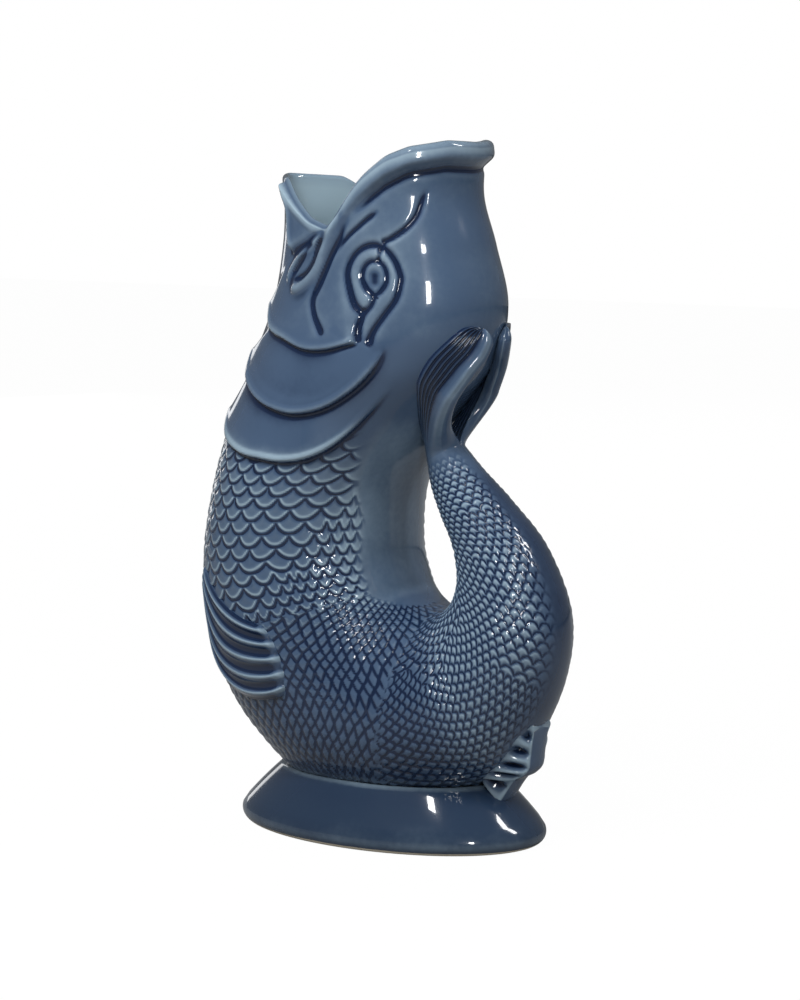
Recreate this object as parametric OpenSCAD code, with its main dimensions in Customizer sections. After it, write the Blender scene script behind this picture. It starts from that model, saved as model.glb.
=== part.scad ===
// Gurgle jug: a glazed ceramic jug in the shape of a fish that stands on its belly.
// The mouth is the pouring lip, and the hollow tail curls up behind as the handle.
// Frame: +X to the tail, +Z up, origin under the middle of the jug on the surface it stands on.
//
// One swept skin carries everything. A station runs from 0 at the upper rim, down the head and
// the belly, under the jug and up the tail to 20 at the tail's neck. At each station the
// section is an oval between a point of the front line and a point of the back line. A turn of
// 0 degrees is the front line and 180 degrees is the back line.

/* [Overall] */
// Height from the surface it stands on to the top of the upper rim
jug_h = 270; // [200:1:340]
// Length from the front of the belly to the back of the tail
jug_l = 161; // [130:1:200]
// Width across the belly
body_w = 92; // [76:1:110]

/* [Walls] */
// Thickness of the ceramic wall
wall = 4.2; // [3:0.1:6]

/* [Foot] */
// Length of the oval foot
foot_l = 133.5; // [116:0.5:150]
// Width of the oval foot
foot_w = 82; // [72:1:96]
// Height of the foot up to the waist, where the belly sits on it
foot_h = 24; // [18:0.5:30]
// Length of the foot's waist
waist_l = 97; // [84:1:104]
// Height of the foot's rounded edge
foot_edge_h = 8.5; // [5:0.1:10]
// Width of the bare ring that the jug rests on
ring_w = 5; // [3:0.1:6]
// How far the foot's middle lies behind the middle of the jug
foot_shift = 1.4; // [0:0.1:6]

/* [Mouth] */
// How far the pouring lip reaches forward of the throat
spout_out = 7.5; // [3:0.1:10]
// Width of the rolled bead round the upper jaw
lip_w = 7; // [5:0.1:9]
// Height of the rolled bead above the skin
lip_rise = 2.2; // [1:0.1:3.5]
// Height of the fold at each corner of the mouth
fold_rise = 2.4; // [1:0.1:3.5]

/* [Head plates] */
// Height of the cheek plate's free edge above the skin
cheek_rise = 1.8; // [1:0.1:3]
// Height of the gill cover's free edge above the skin
gill_rise = 2.4; // [1:0.1:4]
// Height of the collar plate's free edge above the skin
collar_rise = 2.4; // [1:0.1:4]
// Gap between one head plate and the next
plate_gap = 0.3; // [0.1:0.05:0.6]

/* [Eyes] */
// Width of an eye over its outer ring
eye_d = 24; // [18:0.5:28]
// Height of the eye's rings above the skin
eye_rise = 1.9; // [1:0.1:3]

/* [Fins] */
// Height of the pectoral fin's free edge above the skin
fin_rise = 3; // [2:0.1:4.5]
// Height of the ribs on the pectoral and rear fins
rib_rise = 1.2; // [0.5:0.1:2]
// Thickness of the rear fin along its free edge
rear_fin_w = 11.2; // [8:0.5:16]
// Thickness of the tail fin's rolled inner edge
lobe_t = 7; // [5:0.1:9]

/* [Hidden] */

glaze = [0.33, 0.43, 0.54];
glaze_light = [0.45, 0.55, 0.63];
$fn = 96;

// Gap that keeps a sprig off the facets of the skin that it sits on
seat_gap = 0.25;

full_turn = 360;
half_turn = full_turn / 2;

// Stations of the skin, hand set on the side view. Each row: front line x and z, back line x
// and z, half width. x is a share of jug_l, z a share of the height over the foot, and the
// half width a share of half of body_w.
station_shares = [
    [-0.258, 1.000, 0.249, 1.000, 0.740],
    [-0.258, 0.920, 0.238, 0.920, 0.730],
    [-0.270, 0.840, 0.274, 0.840, 0.760],
    [-0.295, 0.748, 0.304, 0.748, 0.840],
    [-0.354, 0.650, 0.267, 0.659, 0.915],
    [-0.412, 0.553, 0.154, 0.565, 0.970],
    [-0.457, 0.447, 0.062, 0.463, 1.000],
    [-0.488, 0.333, 0.047, 0.366, 1.000],
    [-0.474, 0.228, 0.071, 0.309, 0.990],
    [-0.434, 0.130, 0.096, 0.289, 0.965],
    [-0.336, 0.041, 0.124, 0.278, 0.935],
    [-0.170, -0.035, 0.146, 0.274, 0.900],
    [0.078, -0.045, 0.168, 0.272, 0.860],
    [0.298, 0.000, 0.189, 0.276, 0.780],
    [0.395, 0.062, 0.208, 0.289, 0.670],
    [0.474, 0.164, 0.220, 0.309, 0.575],
    [0.494, 0.268, 0.220, 0.337, 0.490],
    [0.432, 0.374, 0.202, 0.378, 0.400],
    [0.336, 0.447, 0.166, 0.419, 0.315],
    [0.256, 0.497, 0.134, 0.463, 0.230],
    [0.188, 0.543, 0.119, 0.514, 0.180]
];
// Joints between the shell's lengths, as shares of the way from the rim to the tail's neck:
// under the head, the chest, the belly and the bend
joint_shares = [0.25, 0.4, 0.52, 0.7];
// Share of the way at which the tail's air space closes
chamber_share = 0.93;
// Share of the height over the foot that one station spans at the rim
rim_step_share = 0.08;
// Height of the rim by turn. Each row: degrees round from the front, share of the height
rim_height_shares = [
    [0, 0.943], [36, 0.937], [45, 0.923], [55, 0.905], [70, 0.876], [83, 0.864], [90, 0.888],
    [100, 0.925], [106, 0.943], [118, 0.970], [131, 0.984], [155, 0.993], [180, 0.990]
];
// How far the rim's corners are rounded, in degrees
rim_ease_angle = 4;
// How sharply the pouring lip comes to its point, in degrees, and the share of the way from
// the rim to the tail's neck at which it has faded
spout_angle = 17;
spout_share = 0.11;

tail_end = len(station_shares) - 1;
head_end = joint_shares[0] * tail_end;
tail_start = joint_shares[3] * tail_end;

function column(c, k) =
    k < 0 ? 2 * station_shares[0][c] - station_shares[1][c]
    : k > len(station_shares) - 1 ? 2 * station_shares[k - 1][c] - station_shares[k - 2][c]
    : station_shares[k][c];

// Smooth curve through four values in a row, between the second and the third
function smooth_between(a, b, c, d, f) =
    b + f * (c - a + f * (2 * a - 5 * b + 4 * c - d + f * (3 * b - a - 3 * c + d))) / 2;

function share_at(c, s) =
    let (k = min(floor(s), len(station_shares) - 2))
    smooth_between(column(c, k - 1), column(c, k), column(c, k + 1), column(c, k + 2), s - k);

function line_x(c, s) = share_at(c, s) * jug_l;
function line_z(c, s) = foot_h + share_at(c, s) * (jug_h - foot_h);

function spout(s, t) =
    let (fade = max(0, 1 - s / (spout_share * tail_end)))
    spout_out * fade * fade * (3 - 2 * fade) * exp(-t * t / (spout_angle * (spout_angle + abs(t))));

// Point of the skin at station s and turn t, a height h over it. Below the waist the skin is
// flat on the foot, and a wall's inner face is flat a wall above it.
function skin(s, t, h = 0) =
    let (
        front = [line_x(0, s), 0, line_z(1, s)],
        back = [line_x(2, s), 0, line_z(3, s)],
        half = (front - back) / 2,
        reach = norm(half),
        w = share_at(4, s) * body_w / 2,
        signed = t > half_turn ? t - full_turn : t,
        p = (front + back) / 2 + half / reach * (reach + h + spout(s, signed)) * cos(t)
            - [0, (w + h) * sin(t), 0]
    )
    [p[0], p[1], max(p[2], foot_h - min(h, 0))];

// Station of the rim at turn t, with the corners of its table rounded
function rim_share(t) = lookup(half_turn - abs(half_turn - t), rim_height_shares);
function rim_station(t) =
    let (near = rim_share(t - rim_ease_angle) + rim_share(t + rim_ease_angle))
    (1 - (near + 2 * rim_share(t)) / 4) / rim_step_share;

// Lengths that one station and one degree of turn span on the skin
probe_share = 0.1;
function station_span(s, t) =
    norm(skin(s + probe_share, t) - skin(s - probe_share, t)) / (2 * probe_share);
function turn_span(s, t) = norm(skin(s, t + 1) - skin(s, t - 1)) / 2;

// Smooth path through a table of points, f from 0 to 1 along it
function path_at(table, f) =
    let (
        last = len(table) - 1,
        k = min(floor(f * last), last - 1),
        a = k > 0 ? table[k - 1] : 2 * table[0] - table[1],
        d = k < last - 1 ? table[k + 2] : 2 * table[last] - table[last - 1]
    )
    smooth_between(a, table[k], table[k + 1], d, f * last - k);

// Solid between rings of points. Looped, the last ring meets the first, as in a wall with an
// outer and an inner face; otherwise both end rings are capped, about their middle or, where
// they are long strips, straight across.
module ringed_solid(rings, looped, strip = false) {
    n = len(rings);
    m = len(rings[0]);
    sides = [
        for (i = [0:(looped ? n : n - 1) - 1], j = [0:m - 1])
            let (a = i * m + j, b = i * m + (j + 1) % m, c = ((i + 1) % n) * m)
            each [[a, c + j, b], [b, c + j, c + (j + 1) % m]]
    ];
    middles = looped || strip ? [] : [mean(rings[0]), mean(rings[n - 1])];
    across = [
        for (j = [0:m / 2 - 2])
            each [[j, j + 1, m - 1 - j], [j + 1, m - 2 - j, m - 1 - j]]
    ];
    caps = looped ? [] : strip ? [
        for (t = across)
            each [t, [for (k = [2:-1:0]) (n - 1) * m + t[k]]]
    ] : [
        for (j = [0:m - 1])
            each [
                [n * m, j, (j + 1) % m],
                [n * m + 1, (n - 1) * m + (j + 1) % m, (n - 1) * m + j]
            ]
    ];
    polyhedron(concat([for (ring = rings) each ring], middles), concat(sides, caps), convexity = 6);
}

function mean(points) = [for (p = points) 1] * points / len(points);

// Ring of the skin at station s, a height h over it
function skin_ring(s, h, count) =
    [for (j = [0:count - 1]) skin(s, full_turn * j / count, h)];

// Ring that lies between a station and the rim, f from 0 at the station to 1 at the rim
function rim_ring(s, f, h, count) =
    [for (j = [0:count - 1])
        let (t = full_turn * j / count)
        skin(s + (rim_station(t) - s) * f, t, h)];

shell_count = 40;
head_rows = 12;
length_rows = 6;
tail_rows = 14;
tail_count = 28;

module head_shell() {
    color(glaze)
    ringed_solid([
        for (i = [0:head_rows]) rim_ring(head_end, i / head_rows, 0, shell_count),
        for (i = [head_rows:-1:0]) rim_ring(head_end, i / head_rows, -wall, shell_count)
    ], true);
}

// Length of the shell between joint k and the next
module shell_length(k) {
    start = joint_shares[k] * tail_end;
    run = joint_shares[k + 1] * tail_end - start;
    color(glaze)
    ringed_solid([
        for (i = [length_rows:-1:0]) skin_ring(start + run * i / length_rows, 0, shell_count),
        for (i = [0:length_rows]) skin_ring(start + run * i / length_rows, -wall, shell_count)
    ], true);
}

module chest_shell() shell_length(0);
module belly_shell() shell_length(1);
module bend_shell() shell_length(2);

module tail_shell() {
    run = tail_end - tail_start;
    hollow = chamber_share * tail_end - tail_start;
    color(glaze)
    ringed_solid([
        for (i = [tail_rows:-1:0]) skin_ring(tail_start + run * i / tail_rows, 0, tail_count),
        for (i = [0:tail_rows - 2])
            skin_ring(tail_start + hollow * i / (tail_rows - 2), -wall, tail_count)
    ], false);
}

// Foot

foot_r = foot_l / 2;
waist_r = waist_l / 2;
edge_r = foot_edge_h / 2;
sweep_points = 10;
edge_points = 5;
quarter_turn = half_turn / 2;

// Outline of the foot from the bare ring up over the rounded edge and the hollow flare to the
// waist, and back down inside
function flare(r, z, t) =
    let (
        a = [foot_r - edge_r / 2, foot_edge_h],
        b = [waist_r + (foot_r - waist_r) / 2, foot_edge_h + (foot_h - foot_edge_h) / 2],
        c = [waist_r, foot_h]
    )
    [r, z] + (1 - t) * (1 - t) * a + 2 * t * (1 - t) * b + t * t * c;

module foot_outline() {
    polygon([
        [foot_r - edge_r - ring_w, 0],
        [foot_r - edge_r, 0],
        for (i = [1:edge_points])
            let (a = quarter_turn * i / edge_points)
            [foot_r - edge_r + edge_r * sin(a), edge_r - edge_r * cos(a)],
        for (i = [0:sweep_points]) flare(0, 0, i / sweep_points),
        [waist_r - wall, foot_h],
        for (i = [sweep_points:-1:1])
            let (p = flare(-wall, -wall / 2, i / sweep_points))
            [p[0], max(p[1] - wall / 2, wall / 2)]
    ]);
}

module foot() {
    color(glaze)
    translate([foot_shift, 0, 0])
    scale([1, foot_w / foot_l, 1])
    rotate_extrude()
    foot_outline();
}

// Sprigs. Each lies between two paths on the skin, given by rows of station and turn, and
// rises over it by a share of its height.

// Grid of the skin between paths a and b. rise is a list of heights across it.
module sprig(a, b, heights, rows, taper) {
    cols = len(heights);
    function spot(i, j) =
        let (f = i / rows, e = j / (cols - 1), p = path_at(a, f), q = path_at(b, f))
        p + (q - p) * e;
    function end_fade(f) = taper ? sqrt(max(0, 1 - pow(abs(2 * f - 1), 3))) : 1;
    rings = [
        for (i = [0:rows]) [
            for (j = [0:cols - 1])
                let (p = spot(i, j))
                skin(p[0], p[1], seat_gap + plate_gap + heights[j] * end_fade(i / rows)),
            for (j = [cols - 1:-1:0])
                let (p = spot(i, j))
                skin(p[0], p[1], seat_gap)
        ]
    ];
    ringed_solid(rings, false, true);
}

module both_sides(side) {
    if (side > 0) children();
    else mirror([0, 1, 0]) children();
}

// Path just past another plate's free edge, where the next plate starts
function below(table) = [for (p = table) p + [plate_gap / station_span(p[0], p[1]), 0]];

plate_profile_shares = [0, 0.28, 0.5, 0.72, 0.92, 1, 0.8];
ridge_profile_shares = [0, 0.6, 0.92, 1, 0.92, 0.6, 0];

cheek_top_shares = [[2.75, 33], [2.97, 48], [3.08, 62], [2.92, 76], [2.8, 88], [3, 99], [3.4, 107]];
cheek_edge_shares = [[2.96, 31], [3.34, 51], [3.54, 66], [3.64, 80], [3.6, 96], [3.5, 109]];

module cheek_plate(side) {
    color(glaze)
    both_sides(side)
    sprig(cheek_top_shares, cheek_edge_shares, cheek_rise * plate_profile_shares, 12, false);
}

gill_edge_shares = [[3.72, 27], [4.2, 44], [4.54, 66], [4.68, 88], [4.5, 108], [3.75, 119]];

module gill_cover(side) {
    color(glaze)
    both_sides(side)
    sprig(below(cheek_edge_shares), gill_edge_shares, gill_rise * plate_profile_shares, 14, false);
}

collar_edge_shares = [[4.7, 26], [5.12, 48], [5.38, 72], [5.46, 98], [5.25, 121], [4.2, 132]];

module collar_plate(side) {
    color(glaze)
    both_sides(side)
    sprig(below(gill_edge_shares), collar_edge_shares, collar_rise * plate_profile_shares, 14, false);
}

fold_outer_shares = [[1.8, 79], [2.05, 72], [2.3, 66], [2.52, 57], [2.5, 50]];
fold_inner_shares = [[1.85, 86], [2.3, 83], [2.72, 76], [2.92, 62], [2.76, 50]];

module jaw_fold(side) {
    color(glaze_light)
    both_sides(side)
    sprig(fold_inner_shares, fold_outer_shares, fold_rise * ridge_profile_shares, 12, true);
}

// Eye: outer ring, groove, inner ring, groove and pupil, on a round patch of the skin
eye_spot_shares = [2.48, 106.5];
// Each row: share of the eye's radius, share of its rise
eye_profile_shares = [[1, 0], [0.9, 0.85], [0.76, 1], [0.6, 0.4], [0.5, 1.1], [0.34, 1.1],
                      [0.26, 0.5], [0.18, 1.2]];
eye_count = 20;

module eye(side) {
    s = eye_spot_shares[0];
    t = eye_spot_shares[1];
    ds = eye_d / 2 / station_span(s, t);
    dt = eye_d / 2 / turn_span(s, t);
    function eye_ring(r, h) = [
        for (j = [0:eye_count - 1])
            let (a = full_turn * j / eye_count)
            skin(s + ds * r * cos(a), t + dt * r * sin(a), h)
    ];
    color(glaze_light)
    both_sides(side)
    ringed_solid([
        eye_ring(0.5, seat_gap),
        eye_ring(1, seat_gap),
        for (p = eye_profile_shares)
            eye_ring(p[0], seat_gap + plate_gap + eye_rise * p[1])
    ], false);
}

// Rolled bead along the upper jaw's rim, from one corner of the mouth round the back
lip_angle = 90;
lip_rows = 36;
lip_profile_shares = [[0, 0.3], [0, 0.8], [0.25, 1], [0.6, 0.9], [0.9, 0.5], [1, 0]];

module upper_lip() {
    span = (full_turn - 2 * lip_angle) / lip_rows;
    down = lip_w / ((jug_h - foot_h) * rim_step_share);
    color(glaze_light)
    ringed_solid([
        for (i = [0:lip_rows])
            let (t = lip_angle + span * i, s = rim_station(t))
            [
                for (p = lip_profile_shares)
                    skin(s + down * p[0], t, seat_gap + plate_gap + lip_rise * p[1]),
                skin(s + down, t, seat_gap),
                skin(s + down / 2, t, seat_gap),
                skin(s, t, seat_gap)
            ]
    ], false);
}

// Pectoral fin: a fan whose ribs leave its root at the front together and bend back to its
// free edge behind
fin_root_shares = [[7.05, 47], [7.12, 42], [7.2, 38], [7.3, 34], [7.42, 30]];
fin_bend_shares = [[7.7, 66], [8.05, 58], [8.5, 48], [9, 40], [9.5, 37]];
fin_edge_shares = [[8.36, 93], [8.9, 95], [9.4, 93.5], [9.85, 89], [10.15, 82]];
fin_ribs = 5;

module pectoral_fin(side) {
    rows = 4 * fin_ribs;
    cols = 9;
    function spot(f, e) =
        let (
            p = path_at(fin_root_shares, f),
            q = path_at(fin_bend_shares, f),
            r = path_at(fin_edge_shares, f),
            a = p + (q - p) * e,
            b = q + (r - q) * e
        )
        a + (b - a) * e;
    rings = [
        for (i = [0:rows])
            let (
                f = i / rows,
                crest = (1 - cos(full_turn * f * fin_ribs)) / 2,
                full = i == 0 || i == rows ? 0.5 : 1
            )
            [
                for (j = [0:cols])
                    let (e = j / cols, p = spot(f, e))
                    skin(p[0], p[1], seat_gap),
                for (j = [cols:-1:0])
                    let (e = j / cols, p = spot(f, e))
                    skin(p[0], p[1], seat_gap + plate_gap
                        + (fin_rise * e + rib_rise * crest * sqrt(e)) * full)
            ]
    ];
    color(glaze_light)
    both_sides(side)
    ringed_solid(rings, false, true);
}

// Rear fin: a keel between the tail's underside and the foot's flare. Its ribbed sides spread
// from a broad free edge in the middle to the flanks of the tail.
rear_root_shares = [[14.42, 13], [14.2, 21], [13.9, 21], [13.6, 21], [13.35, 22], [13.15, 20],
                    [13.04, 14]];
// Free edge. Each row: x as a share of half of jug_l, z as a share of the height over the foot
rear_edge_shares = [[0.866, 0.094], [0.855, 0.073], [0.847, 0.053], [0.838, 0.0345],
                    [0.805, 0.0215], [0.752, 0.0105], [0.705, 0.003]];
rear_ribs = 5;
// How far the sides between two ribs fall from the free edge towards the skin
rear_hollow_share = 0.6;

module rear_fin() {
    rows = 4 * rear_ribs;
    half = rear_fin_w / 2;
    function ring(f) =
        let (
            hollow = rear_hollow_share * (1 - cos(full_turn * f * rear_ribs)) / 2,
            root = path_at(rear_root_shares, f),
            share = path_at(rear_edge_shares, f),
            edge = [share[0] * jug_l / 2, 0, foot_h + share[1] * (jug_h - foot_h)],
            corners = [for (y = [-half, half]) edge + [0, y, 0]],
            roots = [for (turn = [root[1], -root[1]]) skin(root[0], turn, seat_gap)],
            lows = [
                for (turn = [root[1], -root[1]])
                    skin(root[0], turn / 2, seat_gap + plate_gap)
            ],
            sides = [
                for (i = [0, 1])
                    (corners[i] + roots[i]) / 2 * (1 - hollow) + lows[i] * hollow
            ]
        )
        [
            for (e = [-1:0.25:1]) skin(root[0], root[1] * e, seat_gap),
            sides[0],
            corners[0],
            corners[1],
            sides[1]
        ];
    color(glaze_light)
    ringed_solid([for (i = [rows:-1:0]) ring(i / rows)], false);
}

// Tail fin: two leaves that part at the tail's neck, half of its section each, and clasp the
// nape. The outer edge of a leaf lies on the head, and its rolled inner edge stands off it.
lobe_outer_shares = [[5.5, 168], [4.92, 156], [4.52, 147], [4.16, 141], [3.84, 141], [3.56, 146],
                     [3.32, 154], [3.24, 163]];
// Inner edge. Each row: station, turn, and height over the nape as a share of lobe_t
lobe_inner_shares = [[5.2, 174.5, 1.2], [4.95, 166.5, 1.28], [4.68, 162.6, 1.07],
                     [4.42, 163, 0.7], [4.1, 165.4, 0.44], [3.84, 169.5, 0.38],
                     [3.58, 171.6, 0.34], [3.42, 172.3, 0.3]];
// Thickness of the rolled edge at the leaf's tip, as a share of its full thickness
lobe_tip_share = 0.6;
lobe_rows = 16;
lobe_bulge_share = 0.35;
// Share of its length over which a leaf leaves the neck's shape
lobe_part_share = 0.3;
// Where the corners of a leaf's section lie on the neck: degrees of turn round it, then shares
// of the way from its front line to its back line
neck_angles = [176, 150, 115, 75, 45, 18, 5];
neck_middle_shares = [0.35, 0.7];

module tail_lobe(side) {
    end = tail_end + plate_gap / station_span(tail_end - 1, half_turn / 2);
    front = skin(end, 0);
    back = skin(end, half_turn);
    neck = concat(
        [for (a = neck_angles) skin(end, a)],
        [for (e = neck_middle_shares) front + (back - front) * e - [0, plate_gap / 2, 0]]
    );
    rings = [
        for (i = [0:lobe_rows])
            let (
                f = i / lobe_rows,
                q = path_at(lobe_outer_shares, f),
                o = skin(q[0], q[1], seat_gap + plate_gap),
                k = path_at(lobe_inner_shares, f),
                n = skin(k[0], k[1], seat_gap + plate_gap + k[2] * lobe_t),
                along = (n - o) / norm(n - o),
                out = unit(cross(along, [0, 0, 1])),
                r = lobe_t / 2 * (1 - (1 - lobe_tip_share) * f * f),
                mid = (o + n) / 2,
                w = min(1, f / lobe_part_share),
                part = w * w * (3 - 2 * w)
            )
            (1 - part) * neck + part * [
                o,
                o + out * r / 2,
                mid + out * r * (1 + lobe_bulge_share),
                n + out * r,
                n + (out + along) * r * 0.7,
                n + along * r,
                n + (along - out) * r * 0.7,
                n - out * r / 2,
                mid + out * r / 2
            ]
    ];
    color(glaze_light)
    both_sides(side)
    ringed_solid(rings, false);
}

function unit(v) = v / norm(v);

foot();
head_shell();
chest_shell();
belly_shell();
bend_shell();
tail_shell();
upper_lip();
jaw_fold(1);  // jaw_fold_left
jaw_fold(-1);  // jaw_fold_right
cheek_plate(1);  // cheek_plate_left
cheek_plate(-1);  // cheek_plate_right
gill_cover(1);  // gill_cover_left
gill_cover(-1);  // gill_cover_right
collar_plate(1);  // collar_plate_left
collar_plate(-1);  // collar_plate_right
eye(1);  // eye_left
eye(-1);  // eye_right
pectoral_fin(1);  // pectoral_fin_left
pectoral_fin(-1);  // pectoral_fin_right
rear_fin();
tail_lobe(1);  // tail_lobe_left
tail_lobe(-1);  // tail_lobe_right
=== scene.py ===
"""Scene of a glazed ceramic gurgle jug: a fish that stands on its curled tail, mouth up.

The jug's skin is one swept form that bends round from the mouth through the belly into the
hollow tail. A place on it has a station, along the fish, and a turn, round it from the front.
Its relief is worked out once on a fine grid over that skin, and each piece takes its share.
Lengths are in metres, turns in degrees.
"""

import logging
import math
from dataclasses import dataclass, field
from enum import Enum
from typing import Any, Iterable, Sequence

import bpy
import numpy as np
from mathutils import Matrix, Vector


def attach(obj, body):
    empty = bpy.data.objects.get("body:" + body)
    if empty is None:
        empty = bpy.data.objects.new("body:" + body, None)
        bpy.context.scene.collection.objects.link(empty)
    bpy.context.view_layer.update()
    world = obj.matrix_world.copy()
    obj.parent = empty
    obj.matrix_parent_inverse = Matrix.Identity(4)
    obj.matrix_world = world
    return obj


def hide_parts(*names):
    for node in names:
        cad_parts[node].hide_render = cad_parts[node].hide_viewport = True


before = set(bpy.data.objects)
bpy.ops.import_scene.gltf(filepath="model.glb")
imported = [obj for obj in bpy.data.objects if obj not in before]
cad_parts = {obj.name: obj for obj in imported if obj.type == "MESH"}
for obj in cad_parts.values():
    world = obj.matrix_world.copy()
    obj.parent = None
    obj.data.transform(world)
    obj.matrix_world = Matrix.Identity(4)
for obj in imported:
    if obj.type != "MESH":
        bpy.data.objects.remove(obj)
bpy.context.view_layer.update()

LOG = logging.getLogger("jug")
MM = 0.001

Table = Sequence[Sequence[float]]
Range = tuple[float, float]
Colour = tuple[float, float, float]

# The shape's own tables, as in the part's source

# Stations of the skin: front line x and z, back line x and z, half width, as shares of the
# jug's length, of its height over the foot and of half the body's width
STATION_SHARES = (
    (-0.258, 1.000, 0.249, 1.000, 0.740),
    (-0.258, 0.920, 0.238, 0.920, 0.730),
    (-0.270, 0.840, 0.274, 0.840, 0.760),
    (-0.295, 0.748, 0.304, 0.748, 0.840),
    (-0.354, 0.650, 0.267, 0.659, 0.915),
    (-0.412, 0.553, 0.154, 0.565, 0.970),
    (-0.457, 0.447, 0.062, 0.463, 1.000),
    (-0.488, 0.333, 0.047, 0.366, 1.000),
    (-0.474, 0.228, 0.071, 0.309, 0.990),
    (-0.434, 0.130, 0.096, 0.289, 0.965),
    (-0.336, 0.041, 0.124, 0.278, 0.935),
    (-0.170, -0.035, 0.146, 0.274, 0.900),
    (0.078, -0.045, 0.168, 0.272, 0.860),
    (0.298, 0.000, 0.189, 0.276, 0.780),
    (0.395, 0.062, 0.208, 0.289, 0.670),
    (0.474, 0.164, 0.220, 0.309, 0.575),
    (0.494, 0.268, 0.220, 0.337, 0.490),
    (0.432, 0.374, 0.202, 0.378, 0.400),
    (0.336, 0.447, 0.166, 0.419, 0.315),
    (0.256, 0.497, 0.134, 0.463, 0.230),
    (0.188, 0.543, 0.119, 0.514, 0.180),
)
# Height of the rim by turn: degrees from the front, share of the height over the foot
RIM_HEIGHT_SHARES = (
    (0, 0.943), (36, 0.937), (45, 0.923), (55, 0.905), (70, 0.876), (83, 0.864), (90, 0.888),
    (100, 0.925), (106, 0.943), (118, 0.970), (131, 0.984), (155, 0.993), (180, 0.990),
)


class Side(Enum):
    """Side of the fish, seen from behind its head."""

    LEFT = 1
    RIGHT = -1


class Mark(Enum):
    """What a stroke leaves on the skin."""

    GROOVE = "groove"
    RIDGE = "ridge"
    STEP = "step"


def table_point(table: Table, place: np.ndarray) -> np.ndarray:
    """Reads a table along the smooth curve that goes through its rows.

    Args:
        table: Rows of values.
        place: Row numbers, also between two rows.

    Returns:
        An array with each place's values last.
    """
    rows = np.array(table, float)
    padded = np.vstack([2 * rows[0] - rows[1], rows, 2 * rows[-1] - rows[-2]])
    k = np.clip(np.floor(place), 0, len(rows) - 2).astype(int)
    f = (place - k)[..., None]
    a, b, c, d = (padded[k + i] for i in range(4))
    return b + f * (c - a + f * (2 * a - 5 * b + 4 * c - d + f * (3 * b - a - 3 * c + d))) / 2


def smooth_path(table: Table, count: int) -> np.ndarray:
    """Lays count points along the smooth curve through a table's rows."""
    return table_point(table, np.linspace(0, len(table) - 1, count))


def smoothstep(low: float, high: float, value: Any) -> np.ndarray:
    """Rises from 0 at low to 1 at high, level at both ends."""
    f = np.clip((np.asarray(value, float) - low) / (high - low), 0, 1)
    return f * f * (3 - 2 * f)


def bell(distance: Any, width: float) -> np.ndarray:
    """A smooth hump, 1 at distance 0."""
    return np.exp(-((np.asarray(distance, float) / width) ** 2))


def read(table: Table, at: Any) -> np.ndarray:
    """Reads a table of places and values at places between its rows."""
    rows = np.array(table)
    return np.interp(at, rows[:, 0], rows[:, 1])


@dataclass(frozen=True)
class Skin:
    """The swept skin of the jug, in metres."""

    height: float = 0.270
    length: float = 0.161
    width: float = 0.092
    foot: float = 0.024
    wall: float = 0.0042
    spout_out: float = 0.0075
    spout_turn: float = 17.0
    spout_fade: float = 2.2
    rim_step: float = 0.08
    rim_ease: float = 2.6
    rim_reach: float = 4.0
    head_end: float = 5.0
    tail_start: float = 14.0
    chamber_end: float = 18.6
    tail_end: float = 20.0

    def point(self, station: Any, turn: Any, height: Any = 0.0) -> np.ndarray:
        """Finds points of the skin.

        Args:
            station: Place along the fish.
            turn: Degrees round it from the front, towards the fish's left.
            height: Distance over the skin.

        Returns:
            An array of points, with x, y and z last.
        """
        station, turn, height = np.broadcast_arrays(
            np.asarray(station, float), np.asarray(turn, float), np.asarray(height, float)
        )
        share = table_point(STATION_SHARES, station)
        rise = self.height - self.foot
        front = np.stack([share[..., 0] * self.length, self.foot + share[..., 1] * rise], -1)
        back = np.stack([share[..., 2] * self.length, self.foot + share[..., 3] * rise], -1)
        half = (front - back) / 2
        reach = np.linalg.norm(half, axis=-1)
        signed = np.where(turn > 180, turn - 360, turn)
        fade = np.maximum(0, 1 - station / self.spout_fade)
        sharp = self.spout_turn * (self.spout_turn + np.abs(signed))
        spout = self.spout_out * fade * fade * (3 - 2 * fade) * np.exp(-signed * signed / sharp)
        angle = np.radians(turn)
        out = (reach + height + spout) * np.cos(angle)
        spot = (front + back) / 2 + half / reach[..., None] * out[..., None]
        y = -(share[..., 4] * self.width / 2 + height) * np.sin(angle)
        z = np.maximum(spot[..., 1], self.foot - np.minimum(height, 0))
        return np.stack([spot[..., 0], y, z], -1)

    def rim(self, turn: Any) -> np.ndarray:
        """Finds the rim, with its corners slightly eased.

        Args:
            turn: Degrees from the front, from 0 to 180.

        Returns:
            The rim's station at each turn.
        """
        turn = np.asarray(turn, float)
        offsets = np.linspace(-self.rim_reach, self.rim_reach, 9)
        weights = bell(offsets, self.rim_ease)
        share = sum(
            w * read(RIM_HEIGHT_SHARES, 180 - np.abs(180 - np.abs(turn + o)))
            for o, w in zip(offsets, weights)
        ) / weights.sum()
        return (1 - share) / self.rim_step

    def station_span(self, station: Any, turn: Any) -> np.ndarray:
        """Length that one station spans on the skin."""
        step = 0.05
        ends = self.point(station + step, turn), self.point(station - step, turn)
        return np.linalg.norm(ends[0] - ends[1], axis=-1) / (2 * step)

    def turn_span(self, station: Any, turn: Any) -> np.ndarray:
        """Length that one degree of turn spans on the skin."""
        ends = self.point(station, turn + 1.0), self.point(station, turn - 1.0)
        return np.linalg.norm(ends[0] - ends[1], axis=-1) / 2


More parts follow.
